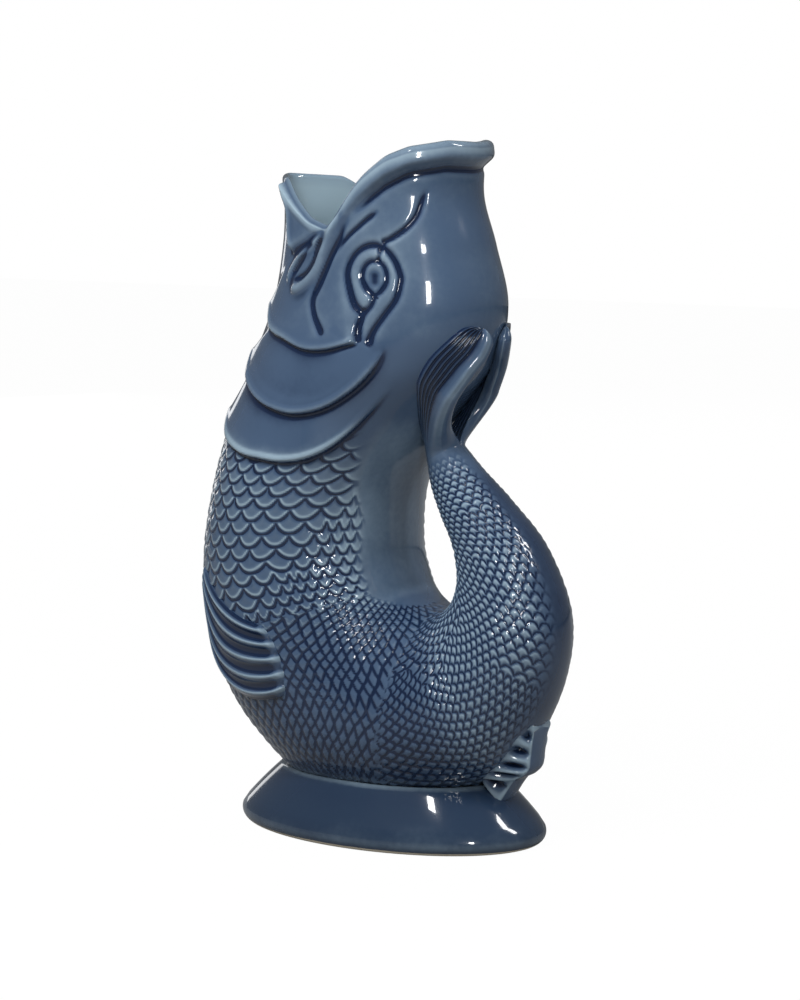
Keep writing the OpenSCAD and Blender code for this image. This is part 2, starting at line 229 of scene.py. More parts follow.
@dataclass(frozen=True)
class Stroke:
    """A line modelled on each side of the fish.

    A step stands proud on its head side, or on its left where it runs from head to tail. Its
    edge is rolled a little, and the skin dips below it, both as shares of its height.
    """

    name: str
    path: Table
    mark: Mark
    height: float
    width: float
    start_fade: float = 0.08
    end_fade: float = 0.08
    decay: float = 0.010
    edge_roll: float = 0.15
    dip: float = 0.22


STROKES = (
    Stroke("cheek edge", (
        (2.96, 29), (3.36, 48), (3.52, 66), (3.66, 81), (3.66, 92), (3.56, 102), (3.5, 108),
    ), Mark.STEP, 1.7 * MM, 0.7 * MM, 0.03, 0.16),
    Stroke("gill edge", (
        (3.72, 27), (4.08, 39), (4.44, 61.5), (4.64, 79.5), (4.72, 94.5), (4.62, 106.5),
        (4.34, 114), (3.96, 118), (3.6, 119),
    ), Mark.STEP, 2.1 * MM, 0.8 * MM, 0.03, 0.2),
    Stroke("collar edge", (
        (4.7, 26), (5.12, 48), (5.36, 70.5), (5.44, 87), (5.48, 100.5), (5.42, 112.5),
        (5.22, 122), (4.8, 129), (4.2, 132),
    ), Mark.STEP, 2.2 * MM, 0.8 * MM, 0.03, 0.3),
    Stroke("brow groove", (
        (1.9, 113.5), (1.8, 120), (1.6, 129), (1.36, 136), (1.04, 141), (0.8, 145),
    ), Mark.GROOVE, 1.3 * MM, 1.25 * MM, 0.04, 0.4),
    Stroke("snout groove", (
        (2.2, 87), (1.84, 94), (1.6, 102), (1.44, 108), (1.24, 116),
    ), Mark.GROOVE, 1.1 * MM, 1.15 * MM, 0.3, 0.25),
    Stroke("jaw groove", (
        (1.36, 101), (1.56, 95), (1.84, 90.5), (2.12, 86), (2.40, 82), (2.60, 79.5),
        (2.88, 76.5), (3.12, 79.5), (3.36, 86), (3.46, 90),
    ), Mark.GROOVE, 1.2 * MM, 1.35 * MM, 0.35, 0.12),
    Stroke("jaw band", (
        (1.3, 92), (1.56, 88), (1.84, 84), (2.1, 80.5), (2.36, 77), (2.56, 72), (2.70, 65),
        (2.68, 58),
    ), Mark.RIDGE, 1.7 * MM, 2.3 * MM, 0.25, 0.1),
    Stroke("fold edge", (
        (1.7, 80), (1.84, 77), (2.04, 70), (2.20, 62.5), (2.44, 56), (2.68, 53.5),
    ), Mark.RIDGE, 1.1 * MM, 1.2 * MM, 0.3, 0.15),
    Stroke("fold hollow", (
        (1.8, 79.5), (2.04, 76.5), (2.28, 73.5), (2.48, 68), (2.6, 60),
    ), Mark.GROOVE, 1.5 * MM, 1.0 * MM, 0.15, 0.15),
    Stroke("fold crease", (
        (1.9, 75), (2.06, 69), (2.32, 62.5), (2.52, 57.5),
    ), Mark.GROOVE, 1.1 * MM, 0.9 * MM, 0.2, 0.15),
    Stroke("mandible edge", (
        (0.72, 34), (1.08, 44), (1.36, 50.5), (1.80, 53), (2.16, 58),
    ), Mark.STEP, 2.6 * MM, 1.0 * MM, 0.1, 0.12, 0.012),
    Stroke("eye groove", (
        (3.08, 105.5), (2.92, 100), (2.68, 96.5), (2.40, 95), (2.12, 99), (1.96, 106),
        (1.97, 113.5), (2.16, 119), (2.44, 122), (2.62, 121.5), (2.84, 119.5), (3.08, 115.5),
        (3.36, 112), (3.66, 111.5),
    ), Mark.GROOVE, 1.25 * MM, 1.6 * MM, 0.02, 0.04),
    Stroke("pupil groove", (
        (2.78, 109.5), (2.68, 105), (2.5, 102.6), (2.32, 104), (2.22, 108), (2.26, 113),
        (2.40, 115.2), (2.56, 115), (2.70, 112.4), (2.78, 109.5),
    ), Mark.GROOVE, 1.1 * MM, 1.35 * MM, 0.01, 0.01),
    Stroke("tear groove", (
        (2.78, 109.5), (2.94, 108), (3.10, 105.2), (3.32, 104.7), (3.58, 106.5),
    ), Mark.GROOVE, 1.25 * MM, 1.4 * MM, 0.02, 0.08),
    Stroke("eye link", ((2.0, 112.5), (2.12, 112), (2.24, 111)), Mark.GROOVE, 1.0 * MM, 0.9 * MM,
           0.02, 0.02),
    Stroke("pupil dimple", ((2.55, 108.9), (2.51, 109), (2.47, 109.1)), Mark.GROOVE, 1.3 * MM,
           3.8 * MM, -0.1, -0.1),
)


def stroke_named(name: str) -> Stroke:
    """Finds a stroke by its name."""
    return next(stroke for stroke in STROKES if stroke.name == name)


@dataclass(frozen=True)
class Scales:
    """Staggered rows of scales. Where the rows would crowd, every second one stops.

    The tables go by station. A row's length is in millimetres, a scale's width a share of it.
    """

    first_row: float = 4.9
    last_row: float = 19.6
    depth: float = 0.56 * MM
    dome: float = 0.28 * MM
    groove: float = 0.95 * MM
    full_length: float = 4 * MM
    least_size: float = 0.25
    unevenness: float = 0.16
    rows_per_station: Table = (
        (4.9, 12.4), (6, 11.4), (7, 9.2), (7.6, 8), (8.4, 6.6), (9, 6.2), (10, 6.6), (11, 7.6),
        (11.5, 8.4), (12, 8.4), (12.5, 8), (13, 6.8), (13.5, 6), (14, 6.4), (14.5, 7), (17, 6.8),
        (18, 6.3), (20, 6),
    )
    row_lengths: Table = (
        (4.9, 4.2), (6, 4.6), (7, 5.3), (8.1, 6.0), (8.4, 4.0), (9.4, 3.9), (10.4, 3.4),
        (11, 2.8), (12, 2.6), (13, 2.8), (17, 2.75), (18.5, 2.5), (20, 2.1),
    )
    width_shares: Table = (
        (4.9, 2.4), (6, 2.5), (8.1, 2.2), (8.4, 1.25), (9.4, 1.3), (10.4, 1.5), (11, 2.0),
        (12, 2.3), (13, 2.0), (14, 2.0), (20, 1.95),
    )
    arc_powers: Table = ((8.2, 2.3), (8.6, 1.5), (11.5, 1.6), (13, 2.0), (20, 2.2))
    arc_shares: Table = ((8.2, 0.76), (8.6, 1.0), (11.5, 0.9), (13, 0.7), (20, 0.62))

    # The back has the sizes of stations further on, and the bend's inside has smaller ones
    back_from: float = 78
    back_lead: float = 0.034
    lead_until: float = 8.2
    bend: Range = (8, 16)
    bend_inside: Range = (95, 150)
    bend_shrink: float = 0.28

    # Least and widest gap between two scales' middles, in widths, and how far a gap evens out
    least_gap: float = 0.6
    widest_gap: float = 1.3
    evening: float = 0.25

    # Tall plates round the belly: the fan's middle, its angles, and where they take over
    belly_centre: Range = (-0.004, 0.078)
    belly_row: float = 0.076
    belly_plate: float = 0.105
    belly_power: float = 1.3
    belly_rows: int = 20
    belly_sway: float = 0.035
    belly_ripple: float = 0.012
    belly_wave: float = 50 * MM
    belly_full: float = 7.5 * MM
    belly_start: Range = (8.25, 8.45)
    belly_end: Range = (11.9, 12.2)
    belly_slant: float = 0.0022
    belly_level: float = 75

    # Where the scales end, and the spans over which they fade
    end_turn: Table = (
        (4.9, 132), (5.36, 138), (6.48, 152), (7.2, 150), (8.28, 150), (9.48, 163), (10.5, 178),
    )
    end_fade: Range = (-6, 2)
    collar_reach: float = 45 * MM
    collar_fade: Range = (1.0 * MM, 2.6 * MM)
    collar_until: float = 6.5
    throat_turn: float = 27
    throat_from: float = 5.2
    throat_fade: Range = (4.9, 5.6)
    inside_fade: Range = (150, 178)
    inside_from: float = 10.2
    inside_share: float = 0.5
    spine_fade: Range = (10, 42)
    tail_fade: Range = (12.8, 14)
    neck_fade: Range = (18.6, 19.7)
    neck_share: float = 0.85

    # Tones of a scale's face, of its rim and of the line round it
    face_tones: Table = ((7.9, 0.2), (8.6, 0.22), (12, 0.18), (14, 0.46))
    rim_tones: Table = ((8.0, 0.95), (8.6, 0.45), (13, 0.3))
    line_tone: float = 1.35

    def row_place(self, station: np.ndarray) -> np.ndarray:
        """Counts rows from the first one up to a station.

        Args:
            station: Places along the fish.

        Returns:
            How many rows lie before each, or -1 where there are none.
        """
        fine = np.linspace(self.first_row, self.last_row + 1, 600)
        rate = read(self.rows_per_station, fine)
        total = np.concatenate([[0], np.cumsum((rate[1:] + rate[:-1]) / 2 * np.diff(fine))])
        return np.interp(station, fine, total, left=-1)

    def belly_lattice(self, points: np.ndarray) -> tuple[np.ndarray, np.ndarray, np.ndarray]:
        """Measures points against the tall, staggered plates that hang round the belly.

        Args:
            points: Points of the plain skin.

        Returns:
            Distances to the line below and to the line above, and the plates' size
            against the flank's.
        """
        x, y, z = (points[..., i] for i in range(3))
        x = x - self.belly_centre[0]
        z = z - self.belly_centre[1]
        ring = np.hypot(x, y)
        reach = np.hypot(ring, z)
        sway = np.sin(7.3 * z / self.belly_wave + 2)
        around = np.arctan2(np.abs(y), -x) + self.belly_sway * sway
        ripple = np.sin(9.1 * around + 21 * z / self.belly_wave)
        rise = np.arctan2(z, ring) + self.belly_ripple * ripple
        row = self.belly_rows - rise / self.belly_row
        high = self.belly_row * reach
        wide = self.belly_plate * ring / 2
        down, up = np.full(row.shape, 1.0), np.full(row.shape, 1.0)
        base = np.floor(row)
        for step in range(-2, 2):
            k = base + step
            across = 2 * np.mod(around / self.belly_plate + 0.5 * np.mod(k, 2), 1) - 1
            edge = k + 1 - np.abs(across) ** self.belly_power
            slope = self.belly_power * np.abs(across) ** (self.belly_power - 1)
            away = (edge - row) * high / np.sqrt(1 + (slope * high / wide) ** 2)
            down = np.where(away >= 0, np.minimum(down, away), down)
            up = np.where(away < 0, np.minimum(up, -away), up)
        return down, up, np.clip(2 * wide / self.belly_full, 0, 1)

    def wanted(self, station: float, turns: np.ndarray) -> tuple[np.ndarray, np.ndarray]:
        """Finds the size that scales have at a station.

        Args:
            station: Place along the fish.
            turns: Turns round it.

        Returns:
            Length from row to row, and width of a scale, at each turn.
        """
        back = np.maximum(0, turns - self.back_from) * self.back_lead
        shifted = station + np.where(station < self.lead_until, back, 0)
        bent = self.bend[0] < station < self.bend[1]
        inner = 1 - self.bend_shrink * smoothstep(*self.bend_inside, turns) * bent
        length = read(self.row_lengths, shifted) * MM * inner
        return length, length * read(self.width_shares, shifted)

    def lay(self, skin: Skin, turn: np.ndarray) -> tuple[np.ndarray, np.ndarray]:
        """Lays the rows, each scale between two of the rows before.

        Args:
            skin: The skin that carries them.
            turn: The grid's turns from 0 to 180.

        Returns:
            For each row and turn, the place from the scale's middle, from -1 to 1, with
            not-a-number where the row has stopped, and how many rows away the next one is.
        """
        uneven = np.random.default_rng(5)
        fine = np.linspace(self.first_row, self.last_row, 4000)
        place = self.row_place(fine)
        stations = np.interp(np.arange(int(place[-1])), place, fine)
        turns = np.linspace(0, 180, 361)
        across = np.full((len(stations), len(turn)), np.nan)
        latest = np.zeros(0)
        for number, station in enumerate(stations):
            rate = read(self.rows_per_station, station)
            spacing = skin.station_span(station, turns) / rate
            length, wide = self.wanted(station, turns)
            level = np.clip(np.round(np.log2(length / spacing)), 0, 4).astype(int)
            there = number % 2**level == 0
            span = np.broadcast_to(skin.turn_span(station, turns), turns.shape)
            count = np.concatenate([[0], np.cumsum(0.5 * span[1:] / wide[1:])])
            if number == 0:
                there[:] = True
                spots = np.interp(np.arange(0, count[-1]), count, turns)
            else:
                middles = (latest[1:] + latest[:-1]) / 2
                start = [] if latest[0] == 0 else [0.0]
                spots = self.even_out(np.concatenate([start, middles]), turns, count)
            own = spots[np.interp(spots, turns, there) > 0.5]
            latest = np.sort(np.concatenate([
                latest[np.interp(latest, turns, there) <= 0.5], own,
            ]))
            if len(own) == 0:
                continue
            half = 0.5 / np.interp(own, turns, np.gradient(count, turns))
            shift = (uneven.random(len(own)) - 0.5) * self.unevenness * 2 * half
            own = own + np.where(own > 0, shift, 0)
            across[number] = self.across(own, half, turn)
            across[number][np.interp(turn, turns, there) <= 0.5] = np.nan
        return across, self.gaps(across)

    @staticmethod
    def across(own: np.ndarray, half: np.ndarray, turn: np.ndarray) -> np.ndarray:
        """Finds where each turn lies across its scale.

        Args:
            own: Turns of the row's scales, from 0 to 180.
            half: Half the width of each, in degrees.
            turn: The grid's turns.

        Returns:
            Places from -1 at a scale's left edge to 1 at its right edge.
        """
        both = np.concatenate([-own[::-1], own[own > 0], 360 - own[::-1]])
        halves = np.concatenate([half[::-1], half[own > 0], half[::-1]])
        both, keep = np.unique(both, return_index=True)
        halves = halves[keep]
        cusps = (both[1:] + both[:-1]) / 2
        k = np.clip(np.searchsorted(cusps, turn), 1, len(cusps) - 1)
        reach = np.where(turn > both[k], cusps[k] - both[k], both[k] - cusps[k - 1])
        return np.clip((turn - both[k]) / np.minimum(reach, 1.5 * halves[k]), -1, 1)

    @staticmethod
    def gaps(across: np.ndarray) -> np.ndarray:
        """Counts how many rows away the next row is.

        Args:
            across: The laid rows, with not-a-number where a row has stopped.

        Returns:
            The count for each row and turn.
        """
        gap = np.ones(across.shape)
        following = np.full(across.shape[1], float(len(across)))
        for number in range(len(across) - 1, -1, -1):
            gap[number] = following - number
            following = np.where(np.isnan(across[number]), following, number)
        return gap

    def even_out(self, spots: np.ndarray, turns: np.ndarray, count: np.ndarray) -> np.ndarray:
        """Adds scales where a gap is wide, and takes one out where it is narrow.

        Args:
            spots: The turns of a row's scales.
            turns: Turns from 0 to 180.
            count: How many scales fit up to each of them.

        Returns:
            The row's turns once evened out.
        """
        place = np.interp(spots, turns, count)
        kept = [place[0]]
        for value in place[1:]:
            gap = value - kept[-1]
            if gap > self.least_gap:
                parts = max(1, round(gap - 0.05))
                kept += [kept[-1] + gap / parts * (i + 1) for i in range(parts)]
        while count[-1] - kept[-1] > self.widest_gap:
            kept.append(kept[-1] + 1)
        kept = np.array(kept)
        middle = kept.copy()
        middle[1:-1] += self.evening * (kept[2:] - 2 * kept[1:-1] + kept[:-2])
        return np.interp(middle, count, turns)


@dataclass(frozen=True)
class Pooling:
    """How the glaze's tone follows the form: below 0 it pools dark, above 0 it thins pale. Some of
    its terms add painted light and painted shade.
    """

    lip_share: float = 0.75
    fine_depth: float = 0.26 * MM
    fine_reach: float = 2.2
    broad_depth: float = 0.55 * MM
    broad_reach: float = 6
    thin: float = 0.62
    pool: float = 1.15
    darkest: float = -1.7
    palest: float = 0.9
    on_scales: float = 0.3
    smooth_head: Range = (4.6, 5.6)
    # Painted shade: darker low down towards the foot, up to the start of the tail
    low_shade: float = 0.5
    low_shade_heights: Range = (55 * MM, 125 * MM)
    low_shade_end: Range = (12.5, 14)
    # Painted light, paler behind the nape and along the brow, and painted shade, darker on plates
    # and on the tail's spine
    nape: float = 0.4
    nape_start: Range = (4.4, 5.4)
    nape_end: Range = (8.6, 9.6)
    nape_turns: Range = (132, 146)
    head: float = 0.1
    brow: float = 1.2
    brow_start: Range = (84, 100)
    brow_end: Range = (126, 150)
    brow_stations: Range = (2.3, 3.3)
    plates: float = 0.24
    plate_start: Range = (3.3, 3.8)
    spine: float = 0.7
    spine_start: Range = (13, 15)
    spine_turns: Range = (8, 44)
    spine_end: Range = (18.4, 19.6)
    # The rim's roll from jaw to brow, and the light band below it
    roll: float = 0.05
    roll_brow: float = 0.4
    roll_turns: Range = (88, 100)
    rim: float = 0.5
    rim_width: float = 2.4 * MM


@dataclass
class Relief:
    """The fine grid over the outer skin, with what is modelled on it.

    Everything is worked out for turns from 0 to 180 and mirrored. The rows run from the head's
    inner wall over the rim and down the outer skin to the end of the tail.
    """

    skin: Skin
    columns: int = 432
    inner_rows: int = 24
    roll_rows: int = 12
    head_rows: int = 156
    body_rows: int = 372
    tail_rows: int = 200
    jaw_thinning: float = 0.45
    jaw_turns: Range = (86, 98)
    lip_rise: float = 2.0 * MM
    lip_least: float = 0.3 * MM
    lip_turns: Range = (84, 122)
    lip_width: float = 7.4 * MM
    lip_widths: Table = ((84, 0.5), (96, 0.9), (106, 1.15), (116, 1.2), (135, 1.0), (180, 1.0))
    lip_swell_at: float = 2.6 * MM
    lip_swell_share: float = 0.25
    lip_groove: float = 0.7 * MM
    lip_groove_width: float = 1.5 * MM
    lip_groove_turns: Range = (98, 112)
    rows: dict[str, tuple[int, int]] = field(default_factory=dict)

    def __post_init__(self) -> None:
        """Lays the grid out, models the relief on it and works out its tones."""
        self.lay_grid()
        self.draw_lip()
        for stroke in STROKES:
            self.draw_stroke(stroke)
        self.draw_scales(Scales())
        self.close_round(self.tones(Pooling()))

    def lay_grid(self) -> None:
        """Spaces the rows from the inner wall over the rim to the tail's end."""
        skin = self.skin
        turn = np.linspace(0, 180, self.columns // 2 + 1)
        rim = skin.rim(turn)
        rise = self.bead(turn)
        up = np.linspace(0, 1, self.inner_rows, endpoint=False)[:, None]
        inner = skin.head_end + (rim - skin.head_end) * up
        angle = np.linspace(math.pi, 0, self.roll_rows, endpoint=False)[:, None]
        rim_span = skin.station_span(np.maximum(rim, 0.3), turn)
        over = 0.85 * (skin.wall + rise) / 2 * np.sin(angle) / rim_span
        down = np.linspace(0, 1, self.head_rows + 1)[:, None]
        outer = rim + (skin.head_end - rim) * down
        flat = np.ones_like(turn)
        body = np.linspace(skin.head_end, skin.tail_start, self.body_rows + 1)[1:, None] * flat
        tail = np.linspace(skin.tail_start, skin.tail_end, self.tail_rows + 1)[1:, None] * flat
        self.station = np.vstack([inner, rim - over, outer, body, tail])
        self.turn = np.broadcast_to(turn, self.station.shape)
        thinner = self.jaw_thinning * (1 - smoothstep(*self.jaw_turns, turn))
        wall = skin.wall * (1 - thinner)
        self.base = np.zeros_like(self.station)
        self.base[: self.inner_rows] = -skin.wall * (1 - thinner * smoothstep(0.55, 1, up))
        self.first = self.inner_rows + self.roll_rows
        self.roll = slice(self.inner_rows, self.first)
        self.base[self.roll] = -wall + (wall + rise) * (1 + np.cos(angle)) / 2
        last = len(self.station) - 1
        self.rows = {
            "head": (self.first, self.first + self.head_rows),
            "body": (self.first + self.head_rows, last - self.tail_rows),
            "tail": (last - self.tail_rows, last),
        }
        self.outer = np.zeros(self.station.shape, bool)
        self.outer[self.first :] = True
        self.plain = skin.point(self.station, self.turn, 0.0)
        self.spans = (
            skin.station_span(self.station, self.turn),
            skin.turn_span(self.station, self.turn),
        )
        self.below_rim = np.where(self.outer, (self.station - rim) * self.spans[0], -1.0)
        self.height = np.zeros_like(self.station)

    def bead(self, turn: np.ndarray) -> np.ndarray:
        """Height of the rolled bead on the rim, full round the upper jaw."""
        return self.lip_rise * smoothstep(*self.lip_turns, turn) + self.lip_least

    def draw_lip(self) -> None:
        """Models the bead below the rim, with the groove under it."""
        width = self.lip_width * read(self.lip_widths, self.turn)
        depth = np.maximum(self.below_rim, 0) * self.lip_width / width
        upper = smoothstep(80, 98, self.turn)
        belly = self.lip_swell_share * bell(depth - self.lip_swell_at, 2 * MM) * upper
        swell = self.bead(self.turn) * (1 + belly)
        fall = 1 - smoothstep(0.45 * self.lip_width, self.lip_width, depth)
        groove = self.lip_groove * bell(depth - 1.1 * self.lip_width, self.lip_groove_width)
        groove *= smoothstep(*self.lip_groove_turns, self.turn)
        self.height += np.where(self.outer, swell * fall - groove, 0)
        self.lip_swell = np.where(self.outer, swell * fall, 0)

    def trace(self, path: Table, reach: float) -> tuple[np.ndarray, ...]:
        """Measures the grid against a path on the skin.

        Args:
            path: Rows of station and turn.
            reach: How far from the path the measures go.

        Returns:
            Flat indices of the grid's points near the path, and for each its distance, its
            share along the path, and its side: above 0 on the tail's side.
        """
        line = smooth_path(path, 200)
        spots = self.skin.point(line[:, 0], line[:, 1])
        low, high = line.min(0), line.max(0)
        margin_s, margin_t = reach / (12 * MM), reach / (0.55 * MM)
        near = (
            self.outer
            & (self.station > low[0] - margin_s) & (self.station < high[0] + margin_s)
            & (self.turn > low[1] - margin_t) & (self.turn < high[1] + margin_t)
        )
        index = np.flatnonzero(near)
        points = self.plain.reshape(-1, 3)[index]
        nearest = np.concatenate([
            ((part[:, None] - spots) ** 2).sum(-1).argmin(1)
            for part in np.array_split(points, max(1, len(points) // 4000))
        ])
        tangent = np.gradient(spots, axis=0)
        length = np.linalg.norm(tangent, axis=1, keepdims=True)
        tangent = tangent / length
        offset = points - spots[nearest]
        along = (offset * tangent[nearest]).sum(1)
        half = length[nearest, 0] / 2
        inside = np.clip(along, -half, half)
        distance = np.linalg.norm(offset - inside[:, None] * tangent[nearest], axis=1)
        share = np.clip((nearest + inside / (2 * half)) / (len(line) - 1), 0, 1)
        slope = np.gradient(line, axis=0)[nearest]
        span_s = self.spans[0].reshape(-1)[index]
        span_t = self.spans[1].reshape(-1)[index]
        ds = (self.station.reshape(-1)[index] - line[nearest, 0]) * span_s
        dt = (self.turn.reshape(-1)[index] - line[nearest, 1]) * span_t
        side = slope[:, 1] * span_t * ds - slope[:, 0] * span_s * dt
        keep = distance < reach
        return index[keep], distance[keep], share[keep], side[keep]

    def draw_stroke(self, stroke: Stroke) -> None:
        """Adds one groove, ridge or step to the relief.

        Args:
            stroke: The line to draw.
        """
        reach = 3 * stroke.width if stroke.mark is not Mark.STEP else 3 * stroke.decay
        index, distance, share, side = self.trace(stroke.path, reach)
        ends = smoothstep(0, stroke.start_fade, share) if stroke.start_fade > 0 else 1.0
        if stroke.end_fade > 0:
            ends = ends * smoothstep(0, stroke.end_fade, 1 - share)
        if stroke.mark is Mark.STEP:
            crest = np.exp(-distance / stroke.decay) + stroke.edge_roll * bell(distance - MM, MM)
            proud = crest * (1 - smoothstep(2 * stroke.decay, 3 * stroke.decay, distance))
            fall = bell(distance, stroke.width)
            dip = stroke.dip * bell(distance - 2.2 * stroke.width, 1.2 * stroke.width)
            shape = np.where(side < 0, proud, fall - dip)
        else:
            shape = bell(distance, stroke.width)
            if stroke.mark is Mark.GROOVE:
                shape = -shape
        self.height.reshape(-1)[index] += stroke.height * shape * ends

    def measure_scales(self, scales: Scales) -> tuple[np.ndarray, np.ndarray, np.ndarray]:
        """Measures the grid against the lines between the scales.

        Args:
            scales: The scales on the skin.

        Returns:
            Distances to the line below and to the line above, and the size of the scale as a
            share of a full one.
        """
        turn = self.turn[0]
        across, gap = scales.lay(self.skin, turn)
        fine = np.linspace(scales.first_row, self.skin.tail_end, 500)
        rows = np.interp(np.arange(len(across)), scales.row_place(fine), fine)[:, None]
        arc = 1 - np.abs(across) ** read(scales.arc_powers, rows)
        arc = read(scales.arc_shares, rows) * arc
        edges = np.arange(len(across))[:, None] + gap * arc
        slope = np.nan_to_num(np.gradient(edges, axis=1) / np.gradient(turn))
        place = scales.row_place(self.station)
        row_length = self.spans[0] / read(scales.rows_per_station, self.station)
        down, up = np.full(place.shape, 1.0), np.full(place.shape, 1.0)
        size = np.zeros(place.shape)
        for column in range(len(turn)):
            laid = np.flatnonzero(~np.isnan(edges[:, column]))
            line, lean = edges[laid, column], slope[laid, column]
            here, unit = place[:, column], row_length[:, column]
            k = np.clip(np.searchsorted(line, here), 1, len(laid) - 1)
            for out, near, sign in ((down, k, 1), (up, k - 1, -1)):
                tilt = lean[near] * unit / self.spans[1][:, column]
                out[:, column] = sign * (line[near] - here) * unit / np.sqrt(1 + tilt**2)
            size[:, column] = gap[laid[k - 1], column] * unit / scales.full_length
        belly_down, belly_up, belly_size = scales.belly_lattice(self.plain)
        slanted = self.station + scales.belly_slant * (self.turn - scales.belly_level)
        belly = smoothstep(*scales.belly_start, slanted)
        belly *= 1 - smoothstep(*scales.belly_end, self.station)
        down = down + (belly_down - down) * belly
        up = up + (belly_up - up) * belly
        size = size + (belly_size - size) * belly
        return down, up, np.clip(size, scales.least_size, 1)

    def draw_scales(self, scales: Scales) -> None:
        """Cuts the lines between the scales, domes the scales, and keeps their tones.

        Args:
            scales: The scales to draw.
        """
        down, up, size = self.measure_scales(scales)
        groove = scales.groove * (0.3 + 0.7 * size)
        cut = bell(np.maximum(down, 0), 0.7 * groove)
        cut = np.maximum(cut, bell(np.maximum(up - 0.15 * groove, 0), 0.85 * groove))
        dome = scales.dome * size * bell(down - 1.1 * MM, 0.8 * MM)
        height = dome - scales.depth * (0.5 + 0.5 * size) * cut
        fade = self.scale_fade(scales) * (scales.row_place(self.station) > 0)
        soft = self.blurred(height * fade, 0.9)
        self.height += np.where(self.outer, soft, 0)
        line = bell(down, 0.55 * groove)
        line = np.maximum(line, bell(np.maximum(up - 0.1 * groove, 0), 0.6 * groove))
        rim = read(scales.rim_tones, self.station) * bell(down - 1.2 * groove, 0.55 * groove)
        face = read(scales.face_tones, self.station)
        self.scale_share = fade
        self.scale_tone = (face + rim) * (1 - line) - scales.line_tone * line

    def scale_fade(self, scales: Scales) -> np.ndarray:
        """Finds how much of the scales there is, 0 where the skin is smooth.

        Args:
            scales: The scales on the skin.

        Returns:
            The share of their depth over the half grid.
        """
        collar = stroke_named("collar edge")
        index, distance, _, side = self.trace(collar.path, scales.collar_reach)
        beyond = np.zeros(self.station.size)
        beyond[index] = np.where(side > 0, distance, -distance)
        beyond = beyond.reshape(self.station.shape)
        throat = (self.turn < scales.throat_turn) & (self.station > scales.throat_from)
        free = (self.station > scales.collar_until) | throat
        start = np.where(free, 1, smoothstep(*scales.collar_fade, beyond))
        end = read(scales.end_turn, self.station)
        back = 1 - smoothstep(*scales.end_fade, self.turn - end)
        inside = 1 - scales.inside_share * smoothstep(*scales.inside_fade, self.turn)
        back = np.where(self.station > scales.inside_from, inside, back)
        head = smoothstep(*scales.throat_fade, self.station)
        spine = smoothstep(*scales.spine_fade, self.turn)
        outer = 1 - smoothstep(*scales.tail_fade, self.station) * (1 - spine)
        neck = 1 - scales.neck_share * smoothstep(*scales.neck_fade, self.station)
        return start * back * head * outer * neck

    @staticmethod
    def blurred(values: np.ndarray, width: float) -> np.ndarray:
        """Softens values on the grid by a bell.

        Args:
            values: Rows by columns.
            width: The bell's width in rows and in columns.

        Returns:
            The softened values.
        """
        reach = int(3 * width)
        weights = bell(np.arange(-reach, reach + 1), width * math.sqrt(2))
        weights /= weights.sum()
        for axis in (0, 1):
            padding = [(0, 0), (0, 0)]
            padding[axis] = (reach, reach)
            padded = np.pad(values, padding, mode="reflect")
            size = values.shape[axis]
            values = sum(
                w * np.take(padded, np.arange(size) + i, axis=axis)
                for i, w in enumerate(weights)
            )
        return values

    def tones(self, rule: Pooling) -> np.ndarray:
        """Works out where the glaze pools and where it thins, and adds painted light and painted
        shade to the same tone.

        Args:
            rule: How its tone follows the form.

        Returns:
            The tone over the half grid.
        """
        station, turn = self.station, self.turn
        relief = self.height - rule.lip_share * self.lip_swell
        soft = self.blurred(relief, rule.fine_reach)
        wide = self.blurred(relief, rule.broad_reach)
        smooth = 1 - smoothstep(*rule.smooth_head, station)
        broad = (soft - wide) / rule.broad_depth
        pool = (relief - soft) / rule.fine_depth
        pool = pool + broad * np.where(broad > 0, 1 - 0.8 * smooth, 1)
        glaze = np.where(pool > 0, (rule.thin - 0.4 * smooth) * pool, rule.pool * pool)
        glaze = np.clip(glaze, rule.darkest, rule.palest - 0.5 * smooth)
        glaze = glaze + (rule.on_scales * glaze + self.scale_tone - glaze) * self.scale_share
        # Painted shade: darker low down, towards the foot
        low_shade = 1 - smoothstep(*rule.low_shade_heights, self.plain[..., 2])
        glaze -= rule.low_shade * low_shade * (1 - smoothstep(*rule.low_shade_end, station))
        # Painted light: paler behind the nape
        nape = smoothstep(*rule.nape_start, station) * (1 - smoothstep(*rule.nape_end, station))
        glaze += rule.nape * nape * smoothstep(*rule.nape_turns, turn)
        # Painted light: paler over the smooth head, most along the brow
        brow = smoothstep(*rule.brow_start, turn) * (1 - smoothstep(*rule.brow_end, turn))
        brow = rule.brow * brow * (1 - smoothstep(*rule.brow_stations, station))
        glaze += rule.head * smooth * (1 + brow)
        # Painted shade: darker on the plates of the smooth head
        glaze -= rule.plates * (1 - nape) * smooth * smoothstep(*rule.plate_start, station)
        # Painted shade: darker along the tail's spine
        spine = smoothstep(*rule.spine_start, station) * (1 - smoothstep(*rule.spine_turns, turn))
        glaze -= rule.spine * spine * (1 - smoothstep(*rule.spine_end, station))
        glaze[: self.first] = 0
        glaze[self.roll] = rule.roll + rule.roll_brow * smoothstep(*rule.roll_turns, turn[0])
        rim = rule.rim * bell(np.maximum(self.below_rim, 0), rule.rim_width)
        return np.where(self.outer, glaze + rim, glaze)

    def close_round(self, glaze: np.ndarray) -> None:
        """Mirrors the half grid and works out its points and normals.

        Args:
            glaze: The tone over the half grid.
        """
        half = self.columns // 2
        order = np.concatenate([np.arange(half + 1), np.arange(half - 1, 0, -1)])
        full_turn = np.arange(self.columns) * 360 / self.columns
        height = (self.base + self.height)[:, order]
        self.points = self.skin.point(self.station[:, order], full_turn, height)
        self.normals = grid_normals(self.points)
        self.glaze = glaze[:, order]
        self.inside = np.zeros(self.glaze.shape)
        self.inside[: self.inner_rows] = 1
        self.inside[self.roll] = np.linspace(1, 0, self.roll_rows)[:, None] * 0.8


